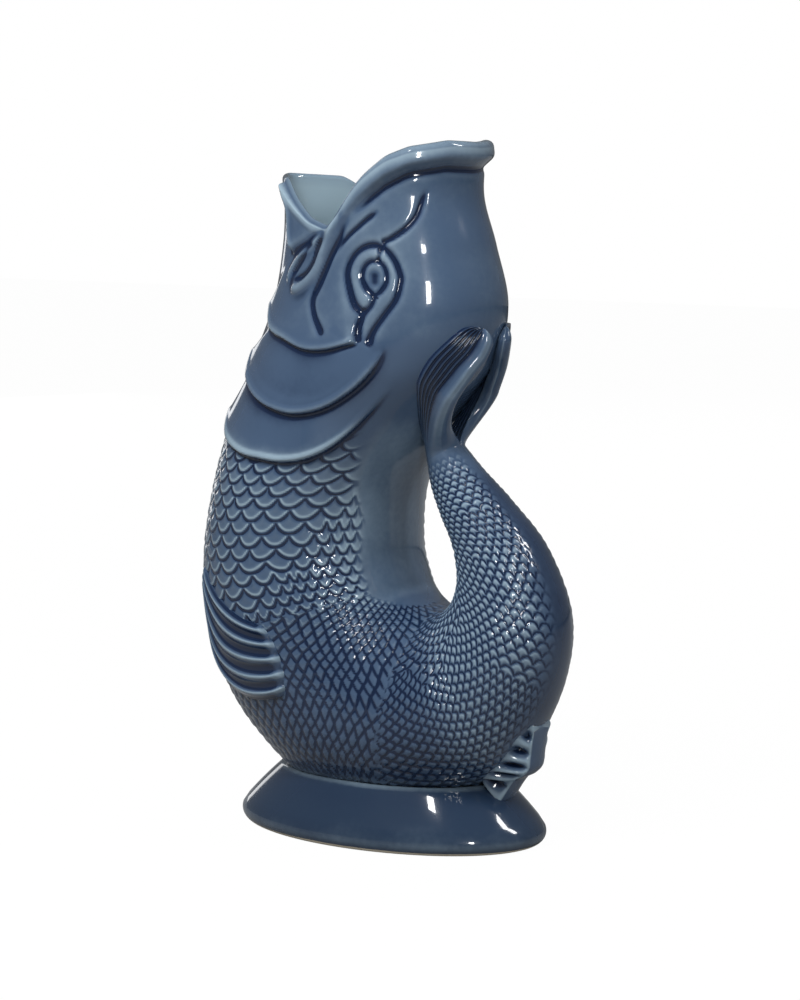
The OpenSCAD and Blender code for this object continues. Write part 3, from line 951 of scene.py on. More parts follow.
def grid_normals(points: np.ndarray) -> np.ndarray:
    """Finds outward normals of a grid whose columns close on themselves.

    Args:
        points: Rows by columns by xyz.

    Returns:
        An array of unit vectors of the same shape.
    """
    along = np.gradient(points, axis=0)
    around = np.roll(points, -1, axis=1) - np.roll(points, 1, axis=1)
    normal = np.cross(along, around)
    return normal / np.maximum(np.linalg.norm(normal, axis=-1, keepdims=True), 1e-12)


def write_finish(mesh: bpy.types.Mesh, glaze: np.ndarray, inside: np.ndarray) -> None:
    """Writes the values that the glaze reads onto a mesh.

    Args:
        mesh: The mesh.
        glaze: The glaze's tone at each point.
        inside: Share of the lining's colour at each point.
    """
    for label, values in (("glaze", glaze), ("inside", inside)):
        layer = mesh.attributes.new(label, "FLOAT", "POINT")
        layer.data.foreach_set("value", np.asarray(values, np.float32).reshape(-1))


@dataclass
class Surface:
    """Points, normals and finish values of a mesh in the making."""

    points: np.ndarray
    faces: list[np.ndarray]
    glaze: np.ndarray
    inside: np.ndarray
    normals: np.ndarray | None = None

    def make(self, name: str) -> bpy.types.Object:
        """Builds the object.

        Args:
            name: The piece's name.

        Returns:
            The new object, at the origin.
        """
        mesh = bpy.data.meshes.new(name)
        sizes = np.concatenate([np.full(len(f), f.shape[1]) for f in self.faces])
        loops = np.concatenate([f.reshape(-1) for f in self.faces]).astype(np.int32)
        starts = np.concatenate([[0], np.cumsum(sizes)[:-1]]).astype(np.int32)
        mesh.vertices.add(len(self.points))
        mesh.vertices.foreach_set("co", self.points.astype(np.float32).reshape(-1))
        mesh.loops.add(len(loops))
        mesh.loops.foreach_set("vertex_index", loops)
        mesh.polygons.add(len(sizes))
        mesh.polygons.foreach_set("loop_start", starts)
        mesh.polygons.foreach_set("use_smooth", np.ones(len(sizes), bool))
        mesh.update(calc_edges=True)
        write_finish(mesh, self.glaze, self.inside)
        mesh.validate()
        if self.normals is not None:
            mesh.normals_split_custom_set_from_vertices(self.normals.reshape(-1, 3).tolist())
        piece = bpy.data.objects.new(name, mesh)
        bpy.context.scene.collection.objects.link(piece)
        return piece


def band_faces(rows: int, columns: int, looped: bool) -> np.ndarray:
    """Makes the quads of a grid whose columns close on themselves.

    Args:
        rows: How many rings the grid has.
        columns: How many points a ring has.
        looped: Whether the last ring joins the first.

    Returns:
        The corners of each quad.
    """
    r = np.arange(rows if looped else rows - 1)[:, None]
    c = np.arange(columns)[None, :]
    next_r, next_c = (r + 1) % rows, (c + 1) % columns
    corners = [r * columns + c, next_r * columns + c, next_r * columns + next_c,
               r * columns + next_c]
    return np.stack([np.broadcast_to(k, (len(r), columns)) for k in corners], -1).reshape(-1, 4)


def capped_band(
    points: np.ndarray, glaze: np.ndarray, inside: np.ndarray, normals: np.ndarray | None = None
) -> Surface:
    """Closes both ends of a grid of rings with a fan about the middle of each end ring.

    Args:
        points: Rings by points by xyz.
        glaze: The glaze's tone at each point.
        inside: Share of the lining's colour at each point.
        normals: Unit vectors at each point, if the mesh's own won't do.

    Returns:
        The closed surface.
    """
    rows, columns = points.shape[:2]
    ends = points[[0, -1]].mean(1)
    c = np.arange(columns)
    n = rows * columns
    last = (rows - 1) * columns
    top = np.stack([np.full(columns, n), c, (c + 1) % columns], -1)
    bottom = np.stack([np.full(columns, n + 1), last + (c + 1) % columns, last + c], -1)
    spots = np.vstack([points.reshape(-1, 3), ends])
    values = [np.concatenate([v.reshape(-1), v[[0, -1]].mean(1)]) for v in (glaze, inside)]
    full = None
    if normals is not None:
        poles = normals[[0, -1]].mean(1)
        poles /= np.maximum(np.linalg.norm(poles, axis=-1, keepdims=True), 1e-9)
        full = np.vstack([normals.reshape(-1, 3), poles])
    return Surface(spots, [band_faces(rows, columns, False), top, bottom], *values, full)


class Socket:
    """A shader socket, or a number, that takes part in sums."""

    def __init__(self, tree: "Tree", value: Any) -> None:
        """Keeps the tree that the socket or number belongs to."""
        self.tree = tree
        self.value = value

    def _math(self, operation: str, *others: Any) -> "Socket":
        """Adds a Math node on this socket and others."""
        return self.tree.node("ShaderNodeMath", {"operation": operation}, (self, *others))

    def __add__(self, other: Any) -> "Socket":
        """self + other."""
        return self._math("ADD", other)

    __radd__ = __add__

    def __mul__(self, other: Any) -> "Socket":
        """self * other."""
        return self._math("MULTIPLY", other)

    __rmul__ = __mul__

    def __sub__(self, other: Any) -> "Socket":
        """self - other."""
        return self._math("SUBTRACT", other)

    def __rsub__(self, other: Any) -> "Socket":
        """other - self."""
        return self.tree.node("ShaderNodeMath", {"operation": "SUBTRACT"}, (other, self))

    def ramp(self, low: float, high: float) -> "Socket":
        """This value turned into a smooth rise from 0 at low to 1 at high."""
        settings = {"interpolation_type": "SMOOTHSTEP"}
        return self.tree.node("ShaderNodeMapRange", settings, {0: self, 1: low, 2: high})


class Tree:
    """The node tree of a new material or world."""

    def __init__(self, owner: bpy.types.ID) -> None:
        """Empties the tree of a material or world.

        Args:
            owner: The new material or world.
        """
        self.owner = owner
        owner.use_nodes = True
        self.nodes = owner.node_tree.nodes
        self.links = owner.node_tree.links
        self.nodes.clear()

    def node(self, kind: str, settings: dict[str, Any] | None = None,
             inputs: Any = (), output: int | str = 0) -> Socket:
        """Adds a node.

        Args:
            kind: The node's type.
            settings: Its properties, set first.
            inputs: Values or sockets by input number or name, or in order.
            output: The output to return.

        Returns:
            The output as a Socket.
        """
        node = self.nodes.new(kind)
        for key, value in (settings or {}).items():
            setattr(node, key, value)
        pairs = inputs.items() if isinstance(inputs, dict) else enumerate(inputs)
        for key, value in pairs:
            value = value.value if isinstance(value, Socket) else value
            if isinstance(value, bpy.types.NodeSocket):
                self.links.new(value, node.inputs[key])
            else:
                node.inputs[key].default_value = value
        return Socket(self, node.outputs[output] if node.outputs else None)

    def noise(self, place: Socket, scale: float, detail: float) -> Socket:
        """Cloudy pattern that is even all over, from 0 to 1."""
        return self.node("ShaderNodeTexNoise", {},
                         {"Vector": place, "Scale": scale, "Detail": detail})

    def mix(self, share: Any, a: Any, b: Any) -> Socket:
        """Mixes two colours."""
        settings = {"data_type": "RGBA"}
        return self.node("ShaderNodeMix", settings, {0: share, 6: a, 7: b}, 2)

    def attribute(self, name: str) -> Socket:
        """Reads one of the piece's own attributes."""
        return self.node("ShaderNodeAttribute", {"attribute_name": name}, (), "Fac")


def linear(red: float, green: float, blue: float) -> tuple[float, float, float, float]:
    """Turns a colour written in 0 to 255 into Blender's linear light."""
    parts = [c / 255 for c in (red, green, blue)]
    parts = [c / 12.92 if c <= 0.04045 else ((c + 0.055) / 1.055) ** 2.4 for c in parts]
    return (*parts, 1.0)


@dataclass(frozen=True)
class Glaze:
    """Glossy blue-grey glaze, dark where it pools in a hollow and pale where it thins. The tone it
    reads also holds painted light and painted shade.
    """

    name: str
    face: Colour = (64, 83, 108)
    pool: Colour = (15, 31, 58)
    edge: Colour = (138, 158, 172)
    lining: Colour = (134, 154, 165)
    clay: Colour = (226, 214, 192)
    bare_to: float = 0.0
    bare_fade: float = 0.5 * MM
    bare_waver: float = 0.8 * MM
    bare_roughness: float = 0.76
    roughness: float = 0.16
    coat_roughness: float = 0.03
    pale_range: Range = (-0.05, 1.15)
    pool_range: Range = (0.05, 1.15)
    clouds: float = 0.5
    specks: float = 0.16
    ripple: float = 0.08
    ripple_height: float = 1.2 * MM

    def material(self) -> bpy.types.Material:
        """Builds the material.

        Returns:
            The material, which reads the piece's glaze and inside attributes.
        """
        tree = Tree(bpy.data.materials.new(self.name))
        place = tree.node("ShaderNodeTexCoord", {}, (), "Object")
        cloud = tree.noise(place, 38.0, 3.0)
        speck = tree.noise(place, 420.0, 2.0)
        glaze = tree.attribute("glaze") + (cloud - 0.5) * self.clouds
        glaze = glaze + (speck - 0.5) * self.specks
        colour = tree.mix(glaze.ramp(*self.pale_range), linear(*self.face), linear(*self.edge))
        colour = tree.mix((0.0 - glaze).ramp(*self.pool_range), colour, linear(*self.pool))
        colour = tree.mix(tree.attribute("inside"), colour, linear(*self.lining))
        roughness: Any = self.roughness
        coat: Any = 1.0
        if self.bare_to > 0:
            height = tree.node("ShaderNodeSeparateXYZ", {}, (place,), 2)
            edge = height + (cloud - 0.5) * self.bare_waver
            bare = 1.0 - edge.ramp(self.bare_to, self.bare_to + self.bare_fade)
            colour = tree.mix(bare, colour, linear(*self.clay))
            roughness = bare * (self.bare_roughness - self.roughness) + self.roughness
            coat = 1.0 - bare
        bump = tree.node("ShaderNodeBump", {}, {
            "Strength": self.ripple, "Distance": self.ripple_height,
            "Height": tree.noise(place, 70.0, 2.0),
        })
        shader = tree.node("ShaderNodeBsdfPrincipled", {}, {
            "Base Color": colour, "Roughness": roughness, "IOR": 1.3, "Coat Weight": coat,
            "Coat Roughness": self.coat_roughness, "Coat IOR": 1.55, "Normal": bump,
        })
        tree.node("ShaderNodeOutputMaterial", {}, {"Surface": shader})
        return tree.owner


class Bench:
    """Helpers for modelling by hand."""

    @staticmethod
    def clear() -> None:
        """Deselects everything."""
        if bpy.context.object and bpy.context.object.mode != "OBJECT":
            bpy.ops.object.mode_set(mode="OBJECT")
        bpy.ops.object.select_all(action="DESELECT")

    @staticmethod
    def spun(name: str, outline: Sequence[tuple[float, float]], centre: float, steps: int,
             squash: float) -> bpy.types.Object:
        """Draws an outline point by point and spins it round an upright axis.

        Args:
            name: The piece's name.
            outline: Radius and height of each point, the last joined to the first.
            centre: Where the axis stands along x.
            steps: Steps of the full turn.
            squash: Width of the oval as a share of its length.

        Returns:
            The spun object, closed and with its normals outward.
        """
        Bench.clear()
        first = outline[0]
        bpy.ops.mesh.primitive_plane_add(size=MM, location=(centre + first[0], 0, first[1]))
        piece = bpy.context.object
        piece.name = piece.data.name = name
        bpy.ops.object.mode_set(mode="EDIT")
        bpy.ops.mesh.select_all(action="SELECT")
        bpy.ops.mesh.merge(type="CENTER")
        for a, b in zip(outline, [*outline[1:], outline[0]]):
            step = (b[0] - a[0], 0, b[1] - a[1])
            bpy.ops.mesh.extrude_region_move(TRANSFORM_OT_translate={"value": step})
        bpy.ops.mesh.select_all(action="SELECT")
        bpy.ops.mesh.remove_doubles(threshold=0.01 * MM)
        bpy.ops.mesh.spin(steps=steps, angle=2 * math.pi, center=(centre, 0, 0), axis=(0, 0, 1))
        bpy.ops.mesh.select_all(action="SELECT")
        bpy.ops.mesh.remove_doubles(threshold=0.01 * MM)
        bpy.ops.mesh.normals_make_consistent(inside=False)
        bpy.ops.transform.resize(value=(1, squash, 1), center_override=(centre, 0, 0))
        bpy.ops.object.mode_set(mode="OBJECT")
        bpy.ops.object.transform_apply(location=True, rotation=True, scale=True)
        bpy.ops.object.shade_smooth()
        return piece


@dataclass
class Builder:
    """Gives every finished piece the material of its slot and its body, and hides the CAD nodes
    that it stands for.
    """

    materials: dict[str, bpy.types.Material] = field(default_factory=dict)

    def dress(self, piece: bpy.types.Object, slot: str, *nodes: str) -> bpy.types.Object:
        """Finishes a piece.

        Args:
            piece: The object.
            slot: The record's material slot.
            nodes: The CAD nodes that it stands for.

        Returns:
            The same object.
        """
        piece.data.materials.clear()
        piece.data.materials.append(self.materials[slot])
        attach(piece, "root")
        if nodes:
            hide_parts(*nodes)
        LOG.info("%s: %d faces, for %s", piece.name, len(piece.data.polygons), nodes or "no node")
        return piece


@dataclass
class Patch:
    """A region of the relief that is a piece of its own, on one side or on both."""

    name: str
    quads: np.ndarray
    sides: tuple[Side, ...]


@dataclass
class Vessel:
    """Head, body and tail, with the sprigs that share their relief.

    The tables give the line where a plate comes out from under the one before, as rows of turn
    and station.
    """

    relief: Relief
    builder: Builder
    sunk: float = 0.9 * MM
    proud: float = 0.02 * MM
    thick: float = 1.6 * MM
    joints: Range = (8.0, 10.4)
    eye_place: Range = (2.5, 107.5)
    eye_reach: Range = (0.6, 15.5)
    lip_depth: float = 9 * MM
    lip_from: float = 92
    fold_from: float = 1.72
    cheek_top: Table = (
        (30, 2.75), (48, 2.97), (62, 3.02), (76, 2.95), (88, 3.0), (99, 3.1), (107, 3.4),
    )
    gill_top: Table = (
        (29, 2.96), (48, 3.36), (66, 3.52), (81, 3.66), (92, 3.66), (102, 3.56), (108, 3.5),
        (119, 3.75),
    )
    collar_top: Table = (
        (27, 3.72), (39, 4.08), (61.5, 4.44), (79.5, 4.64), (94.5, 4.72), (106.5, 4.62),
        (114, 4.34), (132, 4.1),
    )

    def build(self) -> None:
        """Builds the shells and the sprigs on them."""
        self.shell_points = self.relief.points.copy()
        for patch in self.patches():
            self.build_patch(patch)
        self.build_head()
        self.build_body()
        self.build_tail()

    def patches(self) -> Iterable[Patch]:
        """Finds the sprigs that are cut from the relief, by where they lie on the skin.

        Returns:
            The lip, and then each of the other sprigs on both sides.
        """
        relief = self.relief
        s, t, outer = relief.station, relief.turn, relief.outer
        along = (s - self.eye_place[0]) / self.eye_reach[0]
        around = (t - self.eye_place[1]) / self.eye_reach[1]
        eye = (around**2 + along**2 < 1) & outer
        fold = self.close_to("jaw band", 3.4 * MM) | self.close_to("fold crease", 3.2 * MM)
        fold &= (s > self.fold_from) & outer
        lip = (relief.below_rim < self.lip_depth) & (t > self.lip_from) & outer
        lip[relief.roll] = t[0] > self.lip_from
        cheek = self.before_edge("cheek edge") & (s > read(self.cheek_top, t)) & ~eye & ~fold
        gill = self.before_edge("gill edge") & ~cheek & (s > read(self.gill_top, t))
        collar = self.before_edge("collar edge") & ~gill & ~cheek
        collar &= s > read(self.collar_top, t)
        yield Patch("upper_lip", self.half_quads(lip), tuple(Side))
        for name, mask in (
            ("eye", eye), ("jaw_fold", fold), ("cheek_plate", cheek), ("gill_cover", gill),
            ("collar_plate", collar),
        ):
            for side in Side:
                yield Patch(f"{name}_{side.name.lower()}", self.half_quads(mask), (side,))

    @staticmethod
    def half_quads(mask: np.ndarray) -> np.ndarray:
        """Turns a mask of the half grid's points into one of its quads."""
        return mask[:-1, :-1] & mask[1:, :-1] & mask[:-1, 1:] & mask[1:, 1:]

    def before_edge(self, name: str) -> np.ndarray:
        """Marks the points on the head's side of a plate's free edge.

        Args:
            name: The stroke that draws the edge.

        Returns:
            A mask of the half grid.
        """
        relief = self.relief
        line = smooth_path(stroke_named(name).path, 120)
        inside = (relief.turn > line[0, 1]) & (relief.turn < line[:, 1].max())
        edge = read(line[np.argsort(line[:, 1])][:, ::-1], relief.turn)
        return inside & (relief.station < edge + 0.05) & relief.outer

    def close_to(self, name: str, reach: float) -> np.ndarray:
        """Marks the points close to a stroke.

        Args:
            name: The stroke's name.
            reach: How far from it the marks go.

        Returns:
            A mask of the half grid.
        """
        index, _, _, _ = self.relief.trace(stroke_named(name).path, reach)
        mask = np.zeros(self.relief.station.size, bool)
        mask[index] = True
        return mask.reshape(self.relief.station.shape)

    def full_quads(self, patch: Patch) -> np.ndarray:
        """Marks the full grid's quads that are in a patch.

        Args:
            patch: The patch.

        Returns:
            A mask of rows by columns.
        """
        relief = self.relief
        half = relief.columns // 2
        full = np.zeros((relief.station.shape[0] - 1, relief.columns), bool)
        if Side.LEFT in patch.sides:
            full[:, :half] = patch.quads
        if Side.RIGHT in patch.sides:
            full[:, half:] = patch.quads[:, ::-1]
        return full

    def build_patch(self, patch: Patch) -> None:
        """Builds one sprig as a thin closed solid, and sinks the shell under it.

        Args:
            patch: Where the sprig lies.
        """
        relief = self.relief
        quads = self.full_quads(patch)
        faces = band_faces(relief.station.shape[0], relief.columns, False)[quads.reshape(-1)]
        used, flat = np.unique(faces, return_inverse=True)
        faces = flat.reshape(-1, 4)
        points = relief.points.reshape(-1, 3)[used]
        normals = relief.normals.reshape(-1, 3)[used]
        n = len(points)
        edges = np.vstack([faces[:, [i, (i + 1) % 4]] for i in range(4)])
        keys = np.sort(edges, axis=1)
        _, index, count = np.unique(keys[:, 0] * n + keys[:, 1], return_index=True,
                                    return_counts=True)
        rim = edges[index[count == 1]]
        walls = np.stack([rim[:, 1], rim[:, 0], rim[:, 0] + n, rim[:, 1] + n], -1)
        glaze, inside = (v.reshape(-1)[used] for v in (relief.glaze, relief.inside))
        surface = Surface(
            np.vstack([points + normals * self.proud, points - normals * self.thick]),
            [faces, faces[:, ::-1] + n, walls],
            np.tile(glaze, 2), np.tile(inside, 2), np.vstack([normals, -normals]),
        )
        self.builder.dress(surface.make(patch.name), "sprig_glaze", patch.name)
        around = np.zeros(n, int)
        np.add.at(around, faces.reshape(-1), 1)
        deep = used[around == 4]
        self.shell_points.reshape(-1, 3)[deep] -= self.sunk * relief.normals.reshape(-1, 3)[deep]

    def build_head(self) -> None:
        """Builds the head's shell with its inner wall and its rolled rim."""
        relief = self.relief
        last = relief.rows["head"][1] + 1
        surface = Surface(
            self.shell_points[:last].reshape(-1, 3), [band_faces(last, relief.columns, True)],
            relief.glaze[:last], relief.inside[:last], relief.normals[:last],
        )
        self.builder.dress(surface.make("head_shell"), "head_glaze", "head_shell")

    def length(self, rows: slice, inner: np.ndarray, wall_first: bool) -> tuple[np.ndarray, ...]:
        """Joins some rows of the outer skin to rings of the inner wall.

        Args:
            rows: The grid's rows.
            inner: Stations of the wall's rings.
            wall_first: Whether the wall's rings come first.

        Returns:
            Points, glaze, inside and normals, as Surface takes them.
        """
        relief = self.relief
        turns = np.arange(relief.columns) * 360 / relief.columns
        wall = relief.skin.point(inner[:, None], turns, -relief.skin.wall)
        blank = np.zeros(wall.shape[:2])
        pairs = (
            (self.shell_points[rows], wall), (relief.glaze[rows], blank),
            (relief.inside[rows], blank + 1), (relief.normals[rows], grid_normals(wall)),
        )
        return tuple(np.concatenate(p[::-1] if wall_first else p) for p in pairs)

    def build_body(self) -> None:
        """Builds chest, belly and bend, the three lengths of the body's shell."""
        relief = self.relief
        first, last = relief.rows["body"]
        stations = relief.station[:, 0]
        cuts = [first + int(np.searchsorted(stations[first : last + 1], at)) for at in self.joints]
        ends = [first, *cuts, last]
        for name, a, b in zip(("chest_shell", "belly_shell", "bend_shell"), ends, ends[1:]):
            inner = np.linspace(stations[b], stations[a], 16)
            points, *values = self.length(slice(a, b + 1), inner, False)
            faces = band_faces(len(points), relief.columns, True)
            surface = Surface(points.reshape(-1, 3), [faces], *values)
            self.builder.dress(surface.make(name), "scaled_glaze", name)

    def build_tail(self) -> None:
        """Builds the tail with the air space that gurgles."""
        first, last = self.relief.rows["tail"]
        skin = self.relief.skin
        inner = np.linspace(skin.chamber_end, skin.tail_start, 14)
        surface = capped_band(*self.length(slice(first, last + 1), inner, True))
        self.builder.dress(surface.make("tail"), "scaled_glaze", "tail_shell")


@dataclass
class PectoralFins:
    """The ribbed fin on each flank of the belly, between three lines of station and turn."""

    skin: Skin
    builder: Builder
    root: Table = ((7.05, 47), (7.12, 42), (7.2, 38), (7.3, 34), (7.42, 30))
    bend: Table = ((7.7, 66), (8.05, 58), (8.5, 48), (9.0, 40), (9.5, 37))
    edge: Table = ((8.36, 93), (8.9, 95), (9.4, 93.5), (9.85, 89), (10.15, 82))
    ribs: int = 5
    rise: float = 3.0 * MM
    rib: float = 1.9 * MM
    rib_crest: float = 0.35
    crest_power: float = 1.7
    sink: float = 0.9 * MM
    under: float = 1.6 * MM
    end_share: float = 0.03
    root_share: float = 0.25
    hem: Range = (0.93, 0.975)
    round_from: float = 0.965
    round_width: float = 0.035
    crest_tone: float = 0.9
    valley_tone: float = 2.1
    edge_tone: float = 0.75
    rows: int = 150
    columns: int = 110

    def build(self) -> None:
        """Builds both fins."""
        for side in Side:
            self.build_one(side)

    def build_one(self, side: Side) -> None:
        """Builds the fin of one side as a closed grid of rings across it.

        Args:
            side: The side of the fish.
        """
        f = np.linspace(0, 1, self.rows)[:, None]
        e = np.linspace(0, 1, self.columns)[None, :]
        root, bend, edge = (
            smooth_path(table, self.rows)[:, None] for table in (self.root, self.bend, self.edge)
        )
        share = e[..., None]
        spot = root * (1 - share) ** 2 + bend * 2 * share * (1 - share) + edge * share**2
        wave = (f * self.ribs) % 1.0
        crest = np.where(wave < self.rib_crest, wave / self.rib_crest,
                         (1 - wave) / (1 - self.rib_crest))
        crest = smoothstep(0, 1, crest) ** self.crest_power
        ends = smoothstep(0, self.end_share, f) * smoothstep(0, self.end_share, 1 - f)
        body = self.rise * (self.root_share + (1 - self.root_share) * e**0.8)
        lift = body - self.rib * (1 - crest) * np.sqrt(e)
        corner = np.sqrt(1 - np.clip((e - self.round_from) / self.round_width, 0, 1) ** 2)
        top = -self.sink + (self.sink + lift) * (ends * smoothstep(0, 0.1, e) * corner)
        turn = side.value * spot[..., 1] % 360
        upper = self.skin.point(spot[..., 0], turn, top)
        lower = self.skin.point(spot[..., 0], turn, -self.under)
        rings = np.concatenate([upper, lower[:, ::-1]], axis=1)
        tone = self.crest_tone * crest**2 - self.valley_tone * (1 - crest) * np.sqrt(e)
        tone = tone * ends
        hem = smoothstep(*self.hem, e) * (1 - (1 - crest) * 0.5)
        tone = tone + (self.edge_tone - tone) * hem
        glaze = np.concatenate([tone, 0 * tone], axis=1)
        if side is Side.RIGHT:
            rings, glaze = rings[:, ::-1], glaze[:, ::-1]
        name = f"pectoral_fin_{side.name.lower()}"
        surface = capped_band(rings, glaze, 0 * glaze)
        self.builder.dress(surface.make(name), "sprig_glaze", name)


@dataclass
class RearFin:
    """The ribbed keel between the tail's underside and the foot.

    The root goes by station and turn, the free edge by shares of half the jug's length and of
    its height over the foot.
    """

    skin: Skin
    builder: Builder
    width: float = 11.2 * MM
    root: Table = (
        (14.42, 13), (14.2, 21), (13.9, 21), (13.6, 21), (13.35, 22), (13.15, 20), (13.04, 14),
    )
    edge: Table = (
        (0.866, 0.094), (0.855, 0.073), (0.847, 0.053), (0.838, 0.0345), (0.805, 0.0215),
        (0.752, 0.0105), (0.68, -0.024),
    )
    ribs: int = 5
    rows: int = 150
    face_points: int = 26
    edge_points: int = 14
    under_points: int = 9
    pad: float = 0.9 * MM
    hollow: float = 3.0 * MM
    bulge: float = 1.0 * MM
    crest_power: float = 0.9
    hollow_power: float = 1.3
    crest_tone: float = 0.7
    hollow_tone: float = 3.0
    edge_tone: float = -0.15
    under_tone: float = -0.4

    def build(self) -> None:
        """Builds the keel as rings from its top to its lower end."""
        skin = self.skin
        f = np.linspace(0, 1, self.rows)
        root = smooth_path(self.root, self.rows)
        share = smooth_path(self.edge, self.rows)
        x = share[:, 0] * skin.length / 2
        z = skin.foot + share[:, 1] * (skin.height - skin.foot)
        crest = np.abs(np.cos(math.pi * f * self.ribs)) ** self.crest_power
        e = np.linspace(0, 1, self.face_points)[:, None]
        arch = np.sin(math.pi * e)
        dip = (1 - crest) * arch**self.hollow_power
        relief = self.pad * crest * arch**0.5 - self.hollow * dip
        faces, corners = [], []
        for sign in (1, -1):
            corner = np.stack([x, np.full_like(x, -sign * self.width / 2), z], -1)
            foot = skin.point(root[:, 0], (sign * root[:, 1]) % 360, -0.4 * MM)
            line = foot + (corner - foot) * e[..., None]
            across = np.cross(np.gradient(foot + corner, axis=0), corner - foot)
            across /= np.linalg.norm(across, axis=1, keepdims=True)
            across *= np.sign(across[:, 1:2]) * -sign
            faces.append(line + across * relief[..., None])
            corners.append(corner)
        u = np.linspace(0, 1, self.edge_points + 2)[1:-1, None]
        out = (corners[0] + corners[1]) / 2 - skin.point(root[:, 0], 0, 0)
        out /= np.linalg.norm(out, axis=1, keepdims=True)
        bulge = self.bulge * (1 - (2 * u - 1) ** 2)
        free = corners[0] + (corners[1] - corners[0]) * u[..., None] + out * bulge[..., None]
        under = np.stack([
            skin.point(root[:, 0], (root[:, 1] * part) % 360, -1.0 * MM)
            for part in np.linspace(-0.8, 0.8, self.under_points)
        ])
        rings = np.concatenate([faces[0], free, faces[1][::-1], under])
        tone = self.crest_tone * crest**0.5 * arch**0.3 + 0.25 - self.hollow_tone * dip
        tone += 0.6 * bell(e - 0.97, 0.09)
        glaze = np.concatenate([
            tone, np.full(free.shape[:2], self.edge_tone), tone[::-1],
            np.full(under.shape[:2], self.under_tone),
        ]).T[::-1, ::-1]
        surface = capped_band(rings.transpose(1, 0, 2)[::-1, ::-1], glaze, 0 * glaze)
        self.builder.dress(surface.make("rear_fin"), "sprig_glaze", "rear_fin")


@dataclass(frozen=True)
class LeafLine:
    """Where a leaf of the tail fin lies, ring by ring.

    The margin is on the nape, the middle is the roll's, and the directions go from the one to
    the other and out of the leaf's face.
    """

    margin: np.ndarray
    middle: np.ndarray
    radius: np.ndarray
    length: np.ndarray
    along: np.ndarray
    out: np.ndarray


